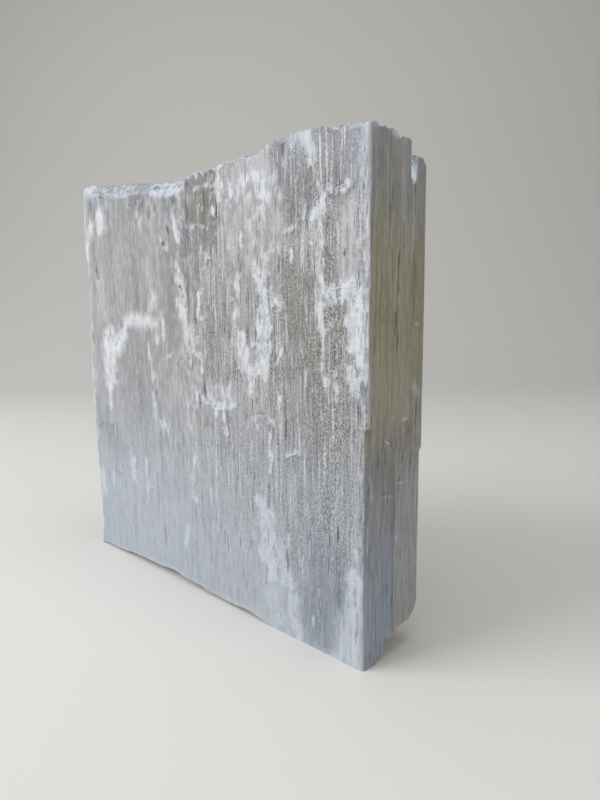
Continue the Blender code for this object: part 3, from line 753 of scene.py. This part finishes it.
# the slab's colours and how strongly its patterns show
finish = {
    # the broad faces: spar, clear places, shade, milky places, then the same low down, where they are
    # painted bluer: a painted reflection
    "lilac": colour(182, 178, 182),
    "sage": colour(166, 165, 161),
    "olive": colour(112, 111, 98),
    "mauve": colour(112, 111, 119),
    "milk": colour(195, 190, 194),
    "lowFront": colour(182, 190, 201),
    "lowShade": colour(112, 121, 134),
    # dark and pale threads, above and low down, where they too are painted bluer as a painted reflection
    "seam": colour(112, 110, 106),
    "lowSeam": colour(124, 130, 138),
    "paleThread": colour(212, 208, 211),
    "lowPale": colour(196, 203, 212),
    # bruises: thin haze and crisp cores, above, low down, where they are painted bluer as a painted
    # reflection, and on the ends; the strongest are snow, then the sky-lit white: painted sky light in the
    # end's recess and on its shelf
    "haze": colour(200, 199, 203),
    "core": colour(222, 225, 229),
    "lowHaze": colour(190, 196, 205),
    "lowCore": colour(204, 209, 217),
    "endHaze": colour(160, 163, 176),
    "endCore": colour(188, 191, 202),
    "snow": colour(228, 232, 237),
    "skyLitWhite": colour(238, 248, 255),
    # the crushed rim and the fibre tips, whose bluish tint is partly a painted sky reflection, then grain,
    # and pits painted dark as painted shade
    "rim": colour(200, 206, 216),
    "rimShade": colour(145, 150, 161),
    "sugarLight": colour(217, 215, 216),
    "sugarDark": colour(103, 102, 98),
    "pit": colour(84, 82, 74),
    # the ends: olive above, mauve, slate and grey below, with dark and pale threads; the olive above and
    # the bluish slate below are partly the spar's own tint and partly a painted reflection
    "endOlive": colour(154, 152, 134),
    "endBrown": colour(150, 146, 120),
    "endRear": colour(144, 142, 124),
    "endHigh": colour(144, 145, 154),
    "endMauve": colour(134, 134, 141),
    "endSlate": colour(140, 144, 155),
    "endSlateLow": colour(142, 153, 172),
    "endGrey": colour(156, 156, 160),
    "endDark": colour(112, 110, 98),
    "endPale": colour(178, 176, 168),
    # places where one look passes into another, metres across from the slab's middle or up from its foot
    "footGrain": (0.012, 0.050),
    # where the painted bluish reflection low on the front sets in
    "lowFace": (0.185, 0.070),
    "calmLeft": (-0.125, -0.080),
    "mainParting": (-0.0004, 0.0008),
    "rearParting": (0.0130, 0.0145),
    "lowEnd": (0.172, 0.112),
    "highEnd": (0.225, 0.275),
    "slateFrom": (0.105, 0.070),
    "slateLow": (0.085, 0.020),
    "greyFrom": (0.115, 0.080),
    # patterns
    "waver": 0.0011,  # how far the fibres stray from straight, metres
    "strays": 0.26,  # white flecks away from the bruises
    "dapple": 0.17,  # dark and pale blotches on the broad faces
    "coreLift": -0.10,  # added to the bruises before their cores and their haze are cut out
    "hazeLift": 0.08,
    "hazeShare": 0.30,
    # surface
    "bump": 0.7,
    "bumpDistance": 0.0009,
    "roughness": 0.28,
    "ior": 1.52,
    "subsurface": 0.30,
    "subsurfaceRadius": (1.0, 0.97, 0.9),
    "subsurfaceScale": 0.004,
    "transmission": 0.10,
}


def makeSelenite():
    # one material for the slab and its splinters: each look is laid over the last by its own mask
    f = finish
    material = bpy.data.materials.new("satinSelenite")
    material.use_nodes = True
    tree = material.node_tree
    shader = tree.nodes["Principled BSDF"]
    place = put(tree, "ShaderNodeTexCoord").outputs["Object"]
    where = put(tree, "ShaderNodeSeparateXYZ", {0: place}).outputs
    fibres = useGroup(tree, fibreGroup, {"Vector": place, "Waver": f["waver"]})
    dash, line, thread, strand, bundle, blotch, grain = (
        fibres[key] for key in ("Dash", "Line", "Thread", "Strand", "Bundle", "Blotch", "Grain")
    )
    bruise, clear, shade, milk, skyReflection, sugar, fleck, pit, ends, tips = (
        put(tree, "ShaderNodeAttribute", attribute_name=key).outputs["Fac"]
        for key in ("bruise", "clear", "shade", "milk", "skyReflection", "grain", "fleck", "pit", "ends", "tips")
    )

    # first * second, first + second, the first colour with a share of the second over it, and the S curve
    def times(first, second):
        return maths(tree, "MULTIPLY", first, second)

    def plus(first, second):
        return maths(tree, "ADD", first, second)

    def mix(share, first, second):
        return blendColours(tree, share, first, second)

    def fade(value, *limits):
        return easeNode(tree, value, *limits)

    # milky places and the foot are smooth: they lose most of their grain
    sugar = times(sugar, fade(milk, 0.20, 0.80, 1.0, 0.30))
    sugar = times(sugar, fade(where["Z"], *f["footGrain"], 0.35, 1.0))

    # where one sees deepest in, little white is left
    deep = maths(tree, "MAXIMUM", fade(clear, 0.90, 1.90), fade(shade, 0.90, 1.70))
    spared = plus(times(deep, -0.7), 1.0)

    # white bruises: crisp ragged cores inside a thinner haze, and stray flecks where the front is scaly
    stray = times(fade(fleck, 0.15, 0.75, 0.0, f["strays"]), fade(blotch, 0.44, 0.64))
    density = plus(bruise, times(stray, spared))
    lively = fade(sugar, 0.10, 0.80)
    crush = {"Fibre": dash, "Blotch": blotch, "Grain": grain}
    ragged = plus(times(lively, 0.42), 0.34)
    crush["Raggedness"] = times(ragged, fade(bruise, 1.10, 1.50, 1.0, 0.6))
    crush["Softness"] = plus(times(lively, -0.10), 0.36)
    core = useGroup(tree, crushGroup, {**crush, "Density": plus(density, f["coreLift"])})["Mask"]
    haze = useGroup(tree, crushGroup, {**crush, "Density": plus(density, f["hazeLift"])})["Mask"]

    # broad faces: lilac-grey spar in soft bands, with thin dark threads, olive where one sees deeper in
    band = fade(plus(times(bundle, 0.5), times(strand, 0.5)), 0.39, 0.61)
    broad = mix(times(band, 0.85), f["lilac"], f["sage"])
    dashShare = plus(times(lively, 0.24), 0.46)
    fine = plus(dash, times(plus(line, times(dash, -1.0)), times(lively, 0.85)))
    both = plus(times(fine, dashShare), times(thread, plus(times(dashShare, -1.0), 1.0)))
    lines = fade(both, 0.40, 0.58)
    lines = plus(times(plus(lines, -0.5), plus(times(lively, 0.55), 0.45)), 0.74)
    depth = plus(fade(clear, 0.10, 0.90), fade(clear, 0.90, 2.00, 0.06, 0.44))
    broad = mix(maths(tree, "MULTIPLY", depth, lines, clamp=True), broad, f["olive"])
    broad = mix(fade(milk, 0.25, 0.80, 0.0, 0.75), broad, f["milk"])
    # painted reflection: low on the front, and where the sky reflection mark lies, the spar, its shade and
    # its threads are painted bluer
    low = fade(plus(where["Z"], times(bundle, 0.05)), *f["lowFace"])
    low = maths(tree, "MAXIMUM", low, fade(skyReflection, 0.10, 0.90, 0.0, 0.9))
    broad = mix(times(low, 0.72), broad, f["lowFront"])
    shadeDepth = plus(fade(shade, 0.0, 1.0), fade(shade, 0.90, 1.80, 0.0, 0.36))
    dimmed = maths(tree, "MULTIPLY", shadeDepth, lines, clamp=True)
    broad = mix(dimmed, broad, mix(low, f["mauve"], f["lowShade"]))
    seamColour = mix(low, f["seam"], f["lowSeam"])
    paleColour = mix(low, f["paleThread"], f["lowPale"])
    threaded = maths(tree, "MAXIMUM", lively, times(deep, 0.9))
    calmLeft = fade(where["X"], *f["calmLeft"], 0.65, 1.0)
    seams = times(fade(both, 0.48, 0.38), times(plus(threaded, 0.32), calmLeft))
    broad = mix(times(seams, plus(times(low, -0.45), 1.0)), broad, seamColour)
    pale = times(fade(both, 0.52, 0.62), times(plus(times(threaded, 0.72), 0.40), calmLeft))
    pale = times(pale, plus(times(deep, -0.35), 1.0))
    broad = mix(pale, broad, paleColour)
    flecked = times(fade(fleck, 0.20, 0.80, 0.0, 0.24), plus(times(lively, -1.0), 1.0))
    dapple = times(plus(times(lively, -0.06), plus(flecked, f["dapple"])), plus(times(low, -0.4), 1.0))
    broad = mix(times(fade(blotch, 0.50, 0.38), dapple), broad, seamColour)
    broad = mix(times(fade(blotch, 0.51, 0.63), dapple), broad, paleColour)

    # ends: satin and darker, olive above and grey below, lighter behind the main parting; the olive above
    # and the bluish slate below are partly a painted reflection
    rear = fade(plus(where["Y"], times(strand, 0.0012)), *f["mainParting"])
    lowEnd = fade(plus(where["Z"], times(strand, 0.05)), *f["lowEnd"])
    highEnd = fade(plus(where["Z"], times(bundle, 0.05)), *f["highEnd"])
    upperEnd = mix(fade(bundle, 0.35, 0.65), f["endOlive"], f["endBrown"])
    upperEnd = mix(fade(where["Y"], *f["rearParting"]), upperEnd, f["endRear"])
    upperEnd = mix(times(highEnd, 0.75), upperEnd, f["endHigh"])
    slate = mix(fade(where["Z"], *f["slateFrom"]), f["endMauve"], f["endSlate"])
    slate = mix(fade(where["Z"], *f["slateLow"]), slate, f["endSlateLow"])
    greyEnd = mix(fade(where["Z"], *f["greyFrom"]), f["endMauve"], f["endGrey"])
    satin = mix(lowEnd, upperEnd, mix(rear, slate, greyEnd))
    satin = mix(fade(both, 0.50, 0.61, 0.0, 0.55), satin, f["endDark"])
    satin = mix(fade(both, 0.48, 0.38, 0.0, 0.46), satin, f["endPale"])

    body = mix(ends, broad, satin)
    # the tips and the crushed rim take a bluish grey, partly a painted sky reflection
    body = mix(times(tips, 0.80), body, f["rimShade"])
    sugared = times(sugar, 0.66)
    body = mix(times(fade(grain, 0.53, 0.61), times(sugared, spared)), body, f["sugarLight"])
    body = mix(times(fade(grain, 0.47, 0.39), sugared), body, f["sugarDark"])
    # low down the haze and the cores are painted bluer too, the same painted reflection
    hazeColour = mix(low, mix(ends, f["haze"], f["endHaze"]), f["lowHaze"])
    coreColour = mix(low, mix(ends, f["core"], f["endCore"]), f["lowCore"])
    # bruises on the tips take the bluish rim white, partly a painted sky reflection
    coreColour = mix(tips, coreColour, f["rim"])
    coreColour = mix(fade(bruise, 1.30, 1.60, 0.0, 0.7), coreColour, f["snow"])
    body = mix(times(haze, plus(times(dash, 0.5), f["hazeShare"])), body, hazeColour)
    mottle = fade(plus(times(blotch, 0.6), times(grain, 0.4)), 0.40, 0.56)
    mottle = times(plus(mottle, -1.0), plus(times(lively, 0.30), 0.46))
    mottle = plus(times(mottle, fade(bruise, 1.05, 1.50, 1.0, 0.3)), 1.0)
    body = mix(times(core, mottle), body, coreColour)
    # painted shade: the pits and slots go dark
    body = mix(fade(plus(pit, times(dash, 0.9)), 0.92, 1.18, 0.0, 0.8), body, f["pit"])
    # painted sky light: the strongest bruises, in the end's recess and on the shelf's tips, take the
    # sky-lit white
    body = mix(fade(bruise, 1.75, 1.90), body, f["skyLitWhite"])

    # surface: rougher on bruises, raised along fibres, sugary on bruises and grain
    rough = plus(times(core, 0.25), times(strand, 0.25))
    relief = plus(times(thread, 0.55), times(strand, 0.45))
    relief = plus(relief, times(grain, plus(times(haze, 0.35), times(sugar, 0.35))))
    relief = plus(relief, times(times(blotch, haze), 0.7))
    relief = times(relief, fade(bruise, 0.80, 1.20, 1.0, 0.55))
    bumpLinks = {"Strength": f["bump"], "Distance": f["bumpDistance"], "Height": relief}
    bump = put(tree, "ShaderNodeBump", bumpLinks)
    for key, value in (
        ("Base Color", body),
        ("Roughness", plus(rough, f["roughness"])),
        ("Normal", bump.outputs["Normal"]),
        ("IOR", f["ior"]),
        ("Subsurface Weight", f["subsurface"]),
        ("Subsurface Radius", f["subsurfaceRadius"]),
        ("Subsurface Scale", f["subsurfaceScale"]),
        ("Transmission Weight", f["transmission"]),
    ):
        feed(tree, shader.inputs[key], value)
    return material


def makeCrystal(material):
    # the block's skin on rows close at ledges and partings, moved to the slab's shape and given its marks
    c = crystal
    width, thickness, height = blockSize
    rows = np.arange(0, height / mm, c["rowPitch"])
    rows = rows[rows < height / mm - 1]
    closer = (np.array(c["ledgeRows"])[:, None] + np.array([-c["ledgeHalf"], c["ledgeHalf"]])).ravel()
    rim = height / mm - np.array([0, c["topGap"]])
    rows = np.unique(np.round(np.concatenate([rows, closer, rim]), 2)) * mm
    rows[-1] = height
    share = np.linspace(0, 1, c["cellsAcross"] + 1)
    xs = width * share * (1.2 - 0.2 * share)  # closer towards the near end
    frontCount, frontTo = c["frontCells"]
    nearRows = np.linspace(0, frontTo, frontCount + 1)
    ys = np.concatenate([nearRows, np.linspace(frontTo, thickness / mm, c["rearCells"] + 1)[1:]])
    partings = np.array(c["partings"])
    ys = ys[np.abs(ys[:, None] - partings).min(axis=1) > c["rowGap"]]
    ys = np.sort(np.concatenate([ys, partings - c["partingHalf"], partings + c["partingHalf"]])) * mm
    x, y, z, faces = blockSkin(xs, ys, rows)
    place = crystalShape(x, y, z)
    values = crystalMarks(x, y, z, place)
    piece = newMesh("crystalSlab", place + blockLow, faces, material, values)
    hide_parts("selenite_crystal")
    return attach(piece, "root")


selenite = makeSelenite()
slab = makeCrystal(selenite)
print("crystal:", 2 * len(slab.data.polygons), "triangles")


# slivers, lips and crumbs that stand off the slab, mm
splinters = {
    "seed": 77,
    "rings": 5,  # along each of them
    "bruised": 0.62,  # crumbs stand where the bruise is stronger than this
    "thickness": {"top": 0.42, "crumbs": 0.42, "front": 0.30, "end": 0.30},  # share of the width
    "whiteSpread": (0.3, 1.25),
    # side, how many, range along it, range up it or back on the top, length, width, lean in degrees,
    # whiteness; on the front they are at least as white as the bruise beneath them
    "groups": [
        ("top", 24, (126, 260), (0.3, 3.0), (0.9, 2.0), (0.8, 2.0), 30, 0.6),
        ("top", 80, (126, 262), (4, 47), (1.2, 3.4), (0.8, 2.4), 20, 0.55),
        ("top", 14, (252, 261.4), (1, 47), (1.2, 2.6), (0.9, 2.0), 20, 0.6),
        ("top", 40, (4, 122), (0.8, 8.0), (4.0, 9.0), (0.35, 0.8), 130, 0.8),
        ("top", 110, (2, 126), (13, 47), (1.0, 2.6), (0.8, 2.4), 40, 0.5),
        ("front", 70, (257.5, 261.6), (126, 262), (2.5, 9.0), (0.4, 0.9), 2, 0.7),
        ("front", 36, (256.5, 260.5), (8, 122), (3.0, 9.0), (0.4, 0.8), 2, 0.6),
        ("front", 20, (0.5, 4.0), (8, 262), (3.0, 9.0), (0.4, 0.8), 2, 0.7),
        ("end", 150, (1.5, 46), (24, 258), (5.0, 16.0), (0.3, 0.6), 1.5, 0.25),
        ("front", 560, (108, 258), (14, 258), (4.0, 15.0), (0.3, 0.7), 1.5, 0.42),
        ("front", 200, (6, 108), (14, 252), (3.0, 12.0), (0.3, 0.6), 1.5, 0.35),
        ("crumbs", 520, (4, 260), (8, 262), (0.8, 2.0), (0.4, 1.0), 25, 0.85),
    ],
    # thin lips left standing where flakes came off: half width, then five points,
    # right and up on the front, back and up on the end
    "lipWidth": 1.35,  # times the half widths listed below
    "lipThickness": 0.6,
    "lipWhiteness": 1.45,
    "frontLips": [
        (0.6, (133, 126), (141, 124), (150, 122), (159, 123), (168, 126.5)),
        (0.4, (181, 118.5), (182, 121), (185, 122.3), (188, 122.6), (190.5, 122)),
        (0.35, (193, 119.5), (195, 120.6), (197, 120.2), (199, 120.6), (200, 121)),
        (0.4, (207, 103.3), (210, 103.6), (213, 104.5), (216, 106), (217, 107.5)),
        (0.3, (217, 106), (217.3, 109), (217.2, 112), (217.1, 115), (217, 118)),
        (0.3, (182.4, 121), (182.3, 118), (182.6, 115), (183, 112), (183, 109)),
        (0.4, (99, 149.3), (101, 150.4), (104, 151.4), (106, 152.8), (107.5, 154)),
        (0.4, (115.5, 147), (117, 149), (119, 149.8), (122, 150.2), (125, 150)),
        (0.4, (126, 152), (128, 154), (130, 156), (132, 155), (134, 153.5)),
        (0.45, (155, 260), (155.3, 255), (155.2, 250), (155.5, 245), (155.4, 240)),
        (0.45, (226, 226), (229, 232), (234, 236), (241, 235.4), (250, 237.2)),
        (0.34, (236, 190.6), (240, 189.7), (245, 190.4), (250, 189.7), (255, 190.6)),
        (0.45, (256, 124.6), (257.5, 124.2), (259, 124.2), (260.5, 124.4), (261.8, 124.8)),
        (0.4, (251, 146), (253, 148), (256, 149.4), (259, 150), (261.6, 151)),
    ],
    "endLips": [
        (0.35, (18.3, 127), (19.3, 127.4), (20.4, 127), (21.5, 127.3), (22.6, 126.7)),
        (0.35, (28, 125), (29.4, 125.3), (30.8, 124.9), (32, 125.5), (33.2, 125.4)),
        (0.35, (14, 116), (15.5, 115.6), (17, 114.8), (18.6, 114), (20, 113.2)),
        (0.25, (12, 87.6), (14.2, 87.9), (16.5, 87.4), (18.8, 87.6), (21, 87)),
        (0.25, (24, 93), (26.5, 92.9), (29, 92.4), (31.5, 92.5), (34, 92)),
        (0.35, (38.8, 172.6), (39.8, 172.9), (40.8, 172.4), (41.8, 172.7), (42.6, 172.2)),
        (0.3, (15, 230.6), (15.6, 230.8), (16.2, 230.2), (16.8, 229.8), (17.2, 229)),
        (0.3, (28.2, 103), (28.8, 102), (28.4, 101), (28.9, 100.2), (28.6, 99.2)),
    ],
}


def splinterPlaces(rng, side, count, across, along):
    # plain places on one side of the block; crumbs are the first of many tries that hit a bruise
    if side == "crumbs":
        tries = rng.random((count * 14, 2))
        x = (across[0] + (across[1] - across[0]) * tries[:, 0]) * mm
        z = (along[0] + (along[1] - along[0]) * tries[:, 1]) * mm
        isBruised = frontMarks(x, z)["bruises"] > splinters["bruised"]
        bruised = np.flatnonzero(isBruised)[:count]
        x, z = x[bruised], z[bruised]
        return x, 0 * x, z
    u = rng.uniform(*across, count) * mm
    v = rng.uniform(*along, count) * mm
    if side == "top":
        return u, v, 0 * u + blockSize[2]
    if side == "end":
        return 0 * u + blockSize[0], u, v
    return u, 0 * u, v


def spindle(middle, axis, normal, width, thick, rng):
    # four-cornered rings round each station: wide along the surface, thin across it,
    # ragged, and pinched at both ends
    station = np.linspace(-1, 1, middle.shape[1])
    profile = (1 - np.abs(station) ** 2.4) * 0.86 + 0.14
    profile = width[:, None] * profile * rng.uniform(0.65, 1.25, middle.shape[:2])
    tangent = np.cross(axis, normal)
    corner = np.radians([45, 135, 225, 315])
    spread = tangent[:, :, None, :] * (np.cos(corner)[:, None] * profile[..., None, None])
    rise = normal * (np.sin(corner)[:, None] * profile[..., None, None] * thick)
    return (middle[:, :, None, :] + spread + rise).reshape(-1, 3)


def makeSplinters(material):
    # loose slivers set down at random, and the listed lips, each a spindle of rings
    s = splinters
    rng = np.random.default_rng(s["seed"])
    ahead, right = np.array([0, -1.0, 0]), np.array([1.0, 0, 0])
    outward = {"top": ahead, "end": right, "front": ahead, "crumbs": ahead}
    each = 4 * s["rings"]  # points of one splinter
    points, values = [], {key: [] for key in ("bruise", "clear", "grain", "ends", "tips")}

    def keep(side, rings, whiteness, clearness):
        # files the points of one group with their numbers
        points.append(rings)
        values["bruise"].append(np.repeat(whiteness, each))
        values["clear"].append(np.repeat(clearness, each))
        values["grain"].append(np.full(len(rings), 0.3))
        values["ends"].append(np.full(len(rings), float(side == "end")))
        values["tips"].append(np.full(len(rings), float(side == "top")))

    for side, count, across, along, lengths, widths, lean, whiteness in s["groups"]:
        x, y, z = splinterPlaces(rng, side, count, across, along)
        count = len(x)
        place = crystalShape(x, y, z)
        turn = rng.uniform(0, 2 * math.pi, count)
        tilt = np.radians(lean) * rng.uniform(0.4, 1.0, count)
        flat = 0.15 if side == "top" else 1.0  # on the top they lean along the slab
        away = np.stack([np.cos(turn), np.sin(turn) * flat, 0 * turn], -1)
        axis = away * np.sin(tilt)[:, None] + np.array([0, 0, 1.0]) * np.cos(tilt)[:, None]
        axis = (axis / np.linalg.norm(axis, axis=1)[:, None])[:, None, :]
        length = rng.uniform(*lengths, count) * mm
        width = rng.uniform(*widths, count) * mm
        station = np.linspace(-0.5, 0.5, s["rings"])
        middle = place[:, None, :] + axis * (station[None, :, None] * length[:, None, None])
        rings = spindle(middle, axis, outward[side], width, s["thickness"][side], rng)
        white = whiteness * rng.uniform(*s["whiteSpread"], count)
        if side in ("front", "crumbs"):
            white = np.maximum(white, frontMarks(x, z)["bruises"])
        keep(side, rings, white, rng.uniform(0, 0.5, count))
    for side, lips in (("front", s["frontLips"]), ("end", s["endLips"])):
        width = np.array([lip[0] for lip in lips]) * s["lipWidth"] * mm
        u, z = np.moveaxis(np.array([lip[1:] for lip in lips], float), 2, 0) * mm
        x, y = (u, 0 * u) if side == "front" else (0 * u + blockSize[0], u)
        plainZ = z
        for _ in range(3):  # looks for the height on the plain block that ends up at z
            middle = crystalShape(x.ravel(), y.ravel(), plainZ.ravel()).reshape(*u.shape, 3)
            plainZ = plainZ + z - middle[..., 2]
        axis = np.gradient(middle, axis=1)
        axis /= np.linalg.norm(axis, axis=2)[..., None]
        middle = middle + 0.15 * mm * outward[side]
        rings = spindle(middle, axis, outward[side], width, s["lipThickness"], rng)
        keep(side, rings, np.full(len(lips), s["lipWhiteness"]), np.zeros(len(lips)))
    points = np.clip(np.concatenate(points), 0, blockSize)
    values = {key: np.concatenate(parts) for key, parts in values.items()}
    start = np.arange(len(points) // each) * each
    ring = 4 * np.arange(s["rings"] - 1)[:, None]
    now, after = np.arange(4), (np.arange(4) + 1) % 4
    sides = np.stack([ring + now, ring + 4 + now, ring + 4 + after, ring + after], -1).reshape(-1, 4)
    last = each - 4
    caps = np.array([[0, 1, 2, 3], [last + 3, last + 2, last + 1, last]])
    faces = (start[:, None, None] + np.concatenate([sides, caps])[None]).reshape(-1, 4)
    piece = newMesh("crystalSplinters", points + blockLow, faces, material, values)
    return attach(piece, "root")


fringe = makeSplinters(selenite)
print("splinters:", 2 * len(fringe.data.polygons), "triangles")


# the stage, its lamps and the camera, in metres and degrees
stage = {
    "floorReach": 7.0,
    "sweepFrom": 1.0,  # how far behind the object the floor turns up, seen from the camera
    "sweepRadius": 0.9,
    "wallHeight": 2.2,
    "curveRows": 13,
    "columns": 5,
    "floorColour": colour(214, 211, 205),
    "roughness": 0.85,
}
lights = {
    "aim": (0, 0, 0.13),
    # name, place, size, power, tint
    "lamps": [
        ("windowLight", (-0.75, -1.15, 0.95), 1.1, 22, (0.94, 0.97, 1.0)),
        ("skyLight", (0.1, -0.2, 1.9), 1.4, 14, (0.90, 0.95, 1.0)),
        ("roomLight", (1.5, 0.2, 0.6), 1.0, 5, (1.0, 0.95, 0.86)),
    ],
    "worldColour": (0.86, 0.87, 0.88, 1),
    "worldStrength": 0.35,
}
camera = {
    "azimuth": 43.37,
    "tilt": 8.53,
    "roll": -0.56,
    "place": (0.2971, -0.2461, 0.18),
    "lens": 27.0,
    "sensorWidth": 36,
    "clipStart": 0.01,
}


def makeStage():
    # a profile carried sideways: flat floor, then a quarter circle, then an upright wall behind the object
    s = stage
    material = bpy.data.materials.new("stagePaper")
    material.use_nodes = True
    shader = material.node_tree.nodes["Principled BSDF"]
    shader.inputs["Base Color"].default_value = s["floorColour"]
    shader.inputs["Roughness"].default_value = s["roughness"]
    turn = np.linspace(0, math.pi / 2, s["curveRows"])
    curve = s["sweepFrom"] + s["sweepRadius"] * np.sin(turn)
    along = np.concatenate([[-s["floorReach"]], curve, [s["sweepFrom"] + s["sweepRadius"]]])
    up = np.concatenate([[0], s["sweepRadius"] * (1 - np.cos(turn)), [s["wallHeight"]]])
    side = np.linspace(-s["floorReach"], s["floorReach"], s["columns"])
    azimuth = math.radians(camera["azimuth"])
    ahead = np.array([-math.sin(azimuth), math.cos(azimuth), 0])
    right = np.array([math.cos(azimuth), math.sin(azimuth), 0])
    upright = np.array([0, 0, 1.0])
    grid = along[:, None, None] * ahead + side[None, :, None] * right + up[:, None, None] * upright
    number = np.arange(grid[..., 0].size).reshape(grid.shape[:2])
    corners = [number[:-1, :-1], number[:-1, 1:], number[1:, 1:], number[1:, :-1]]
    floor = newMesh("stagePaper", grid.reshape(-1, 3), np.stack(corners, -1).reshape(-1, 4), material)


def makeLights():
    # square lamps, all turned to one aim, and a dim even sky
    for name, place, size, power, tint in lights["lamps"]:
        light = bpy.data.lights.new(name, "AREA")
        light.shape = "SQUARE"
        light.size = size
        light.energy = power
        light.color = tint
        lamp = bpy.data.objects.new(name, light)
        lamp.location = place
        toAim = Vector(lights["aim"]) - Vector(place)
        lamp.rotation_euler = toAim.to_track_quat("-Z", "Y").to_euler()
        bpy.context.scene.collection.objects.link(lamp)
    world = bpy.data.worlds.new("studio")
    world.use_nodes = True
    background = world.node_tree.nodes["Background"]
    background.inputs["Color"].default_value = lights["worldColour"]
    background.inputs["Strength"].default_value = lights["worldStrength"]
    bpy.context.scene.world = world


def makeCamera():
    # stands at its place, turned by azimuth, then tilted down, then rolled
    c = camera
    lens = bpy.data.cameras.new("camera")
    lens.lens = c["lens"]
    lens.sensor_width = c["sensorWidth"]
    lens.clip_start = c["clipStart"]
    eye = bpy.data.objects.new("camera", lens)
    turned = Matrix.Rotation(math.radians(c["azimuth"]), 4, "Z")
    turned = turned @ Matrix.Rotation(math.radians(90 - c["tilt"]), 4, "X")
    turned = turned @ Matrix.Rotation(math.radians(c["roll"]), 4, "Z")
    eye.matrix_world = Matrix.Translation(c["place"]) @ turned
    bpy.context.scene.collection.objects.link(eye)
    bpy.context.scene.camera = eye


makeStage()
makeLights()
makeCamera()
bpy.context.scene.view_settings.view_transform = "Standard"
print("stage, lights and camera placed")
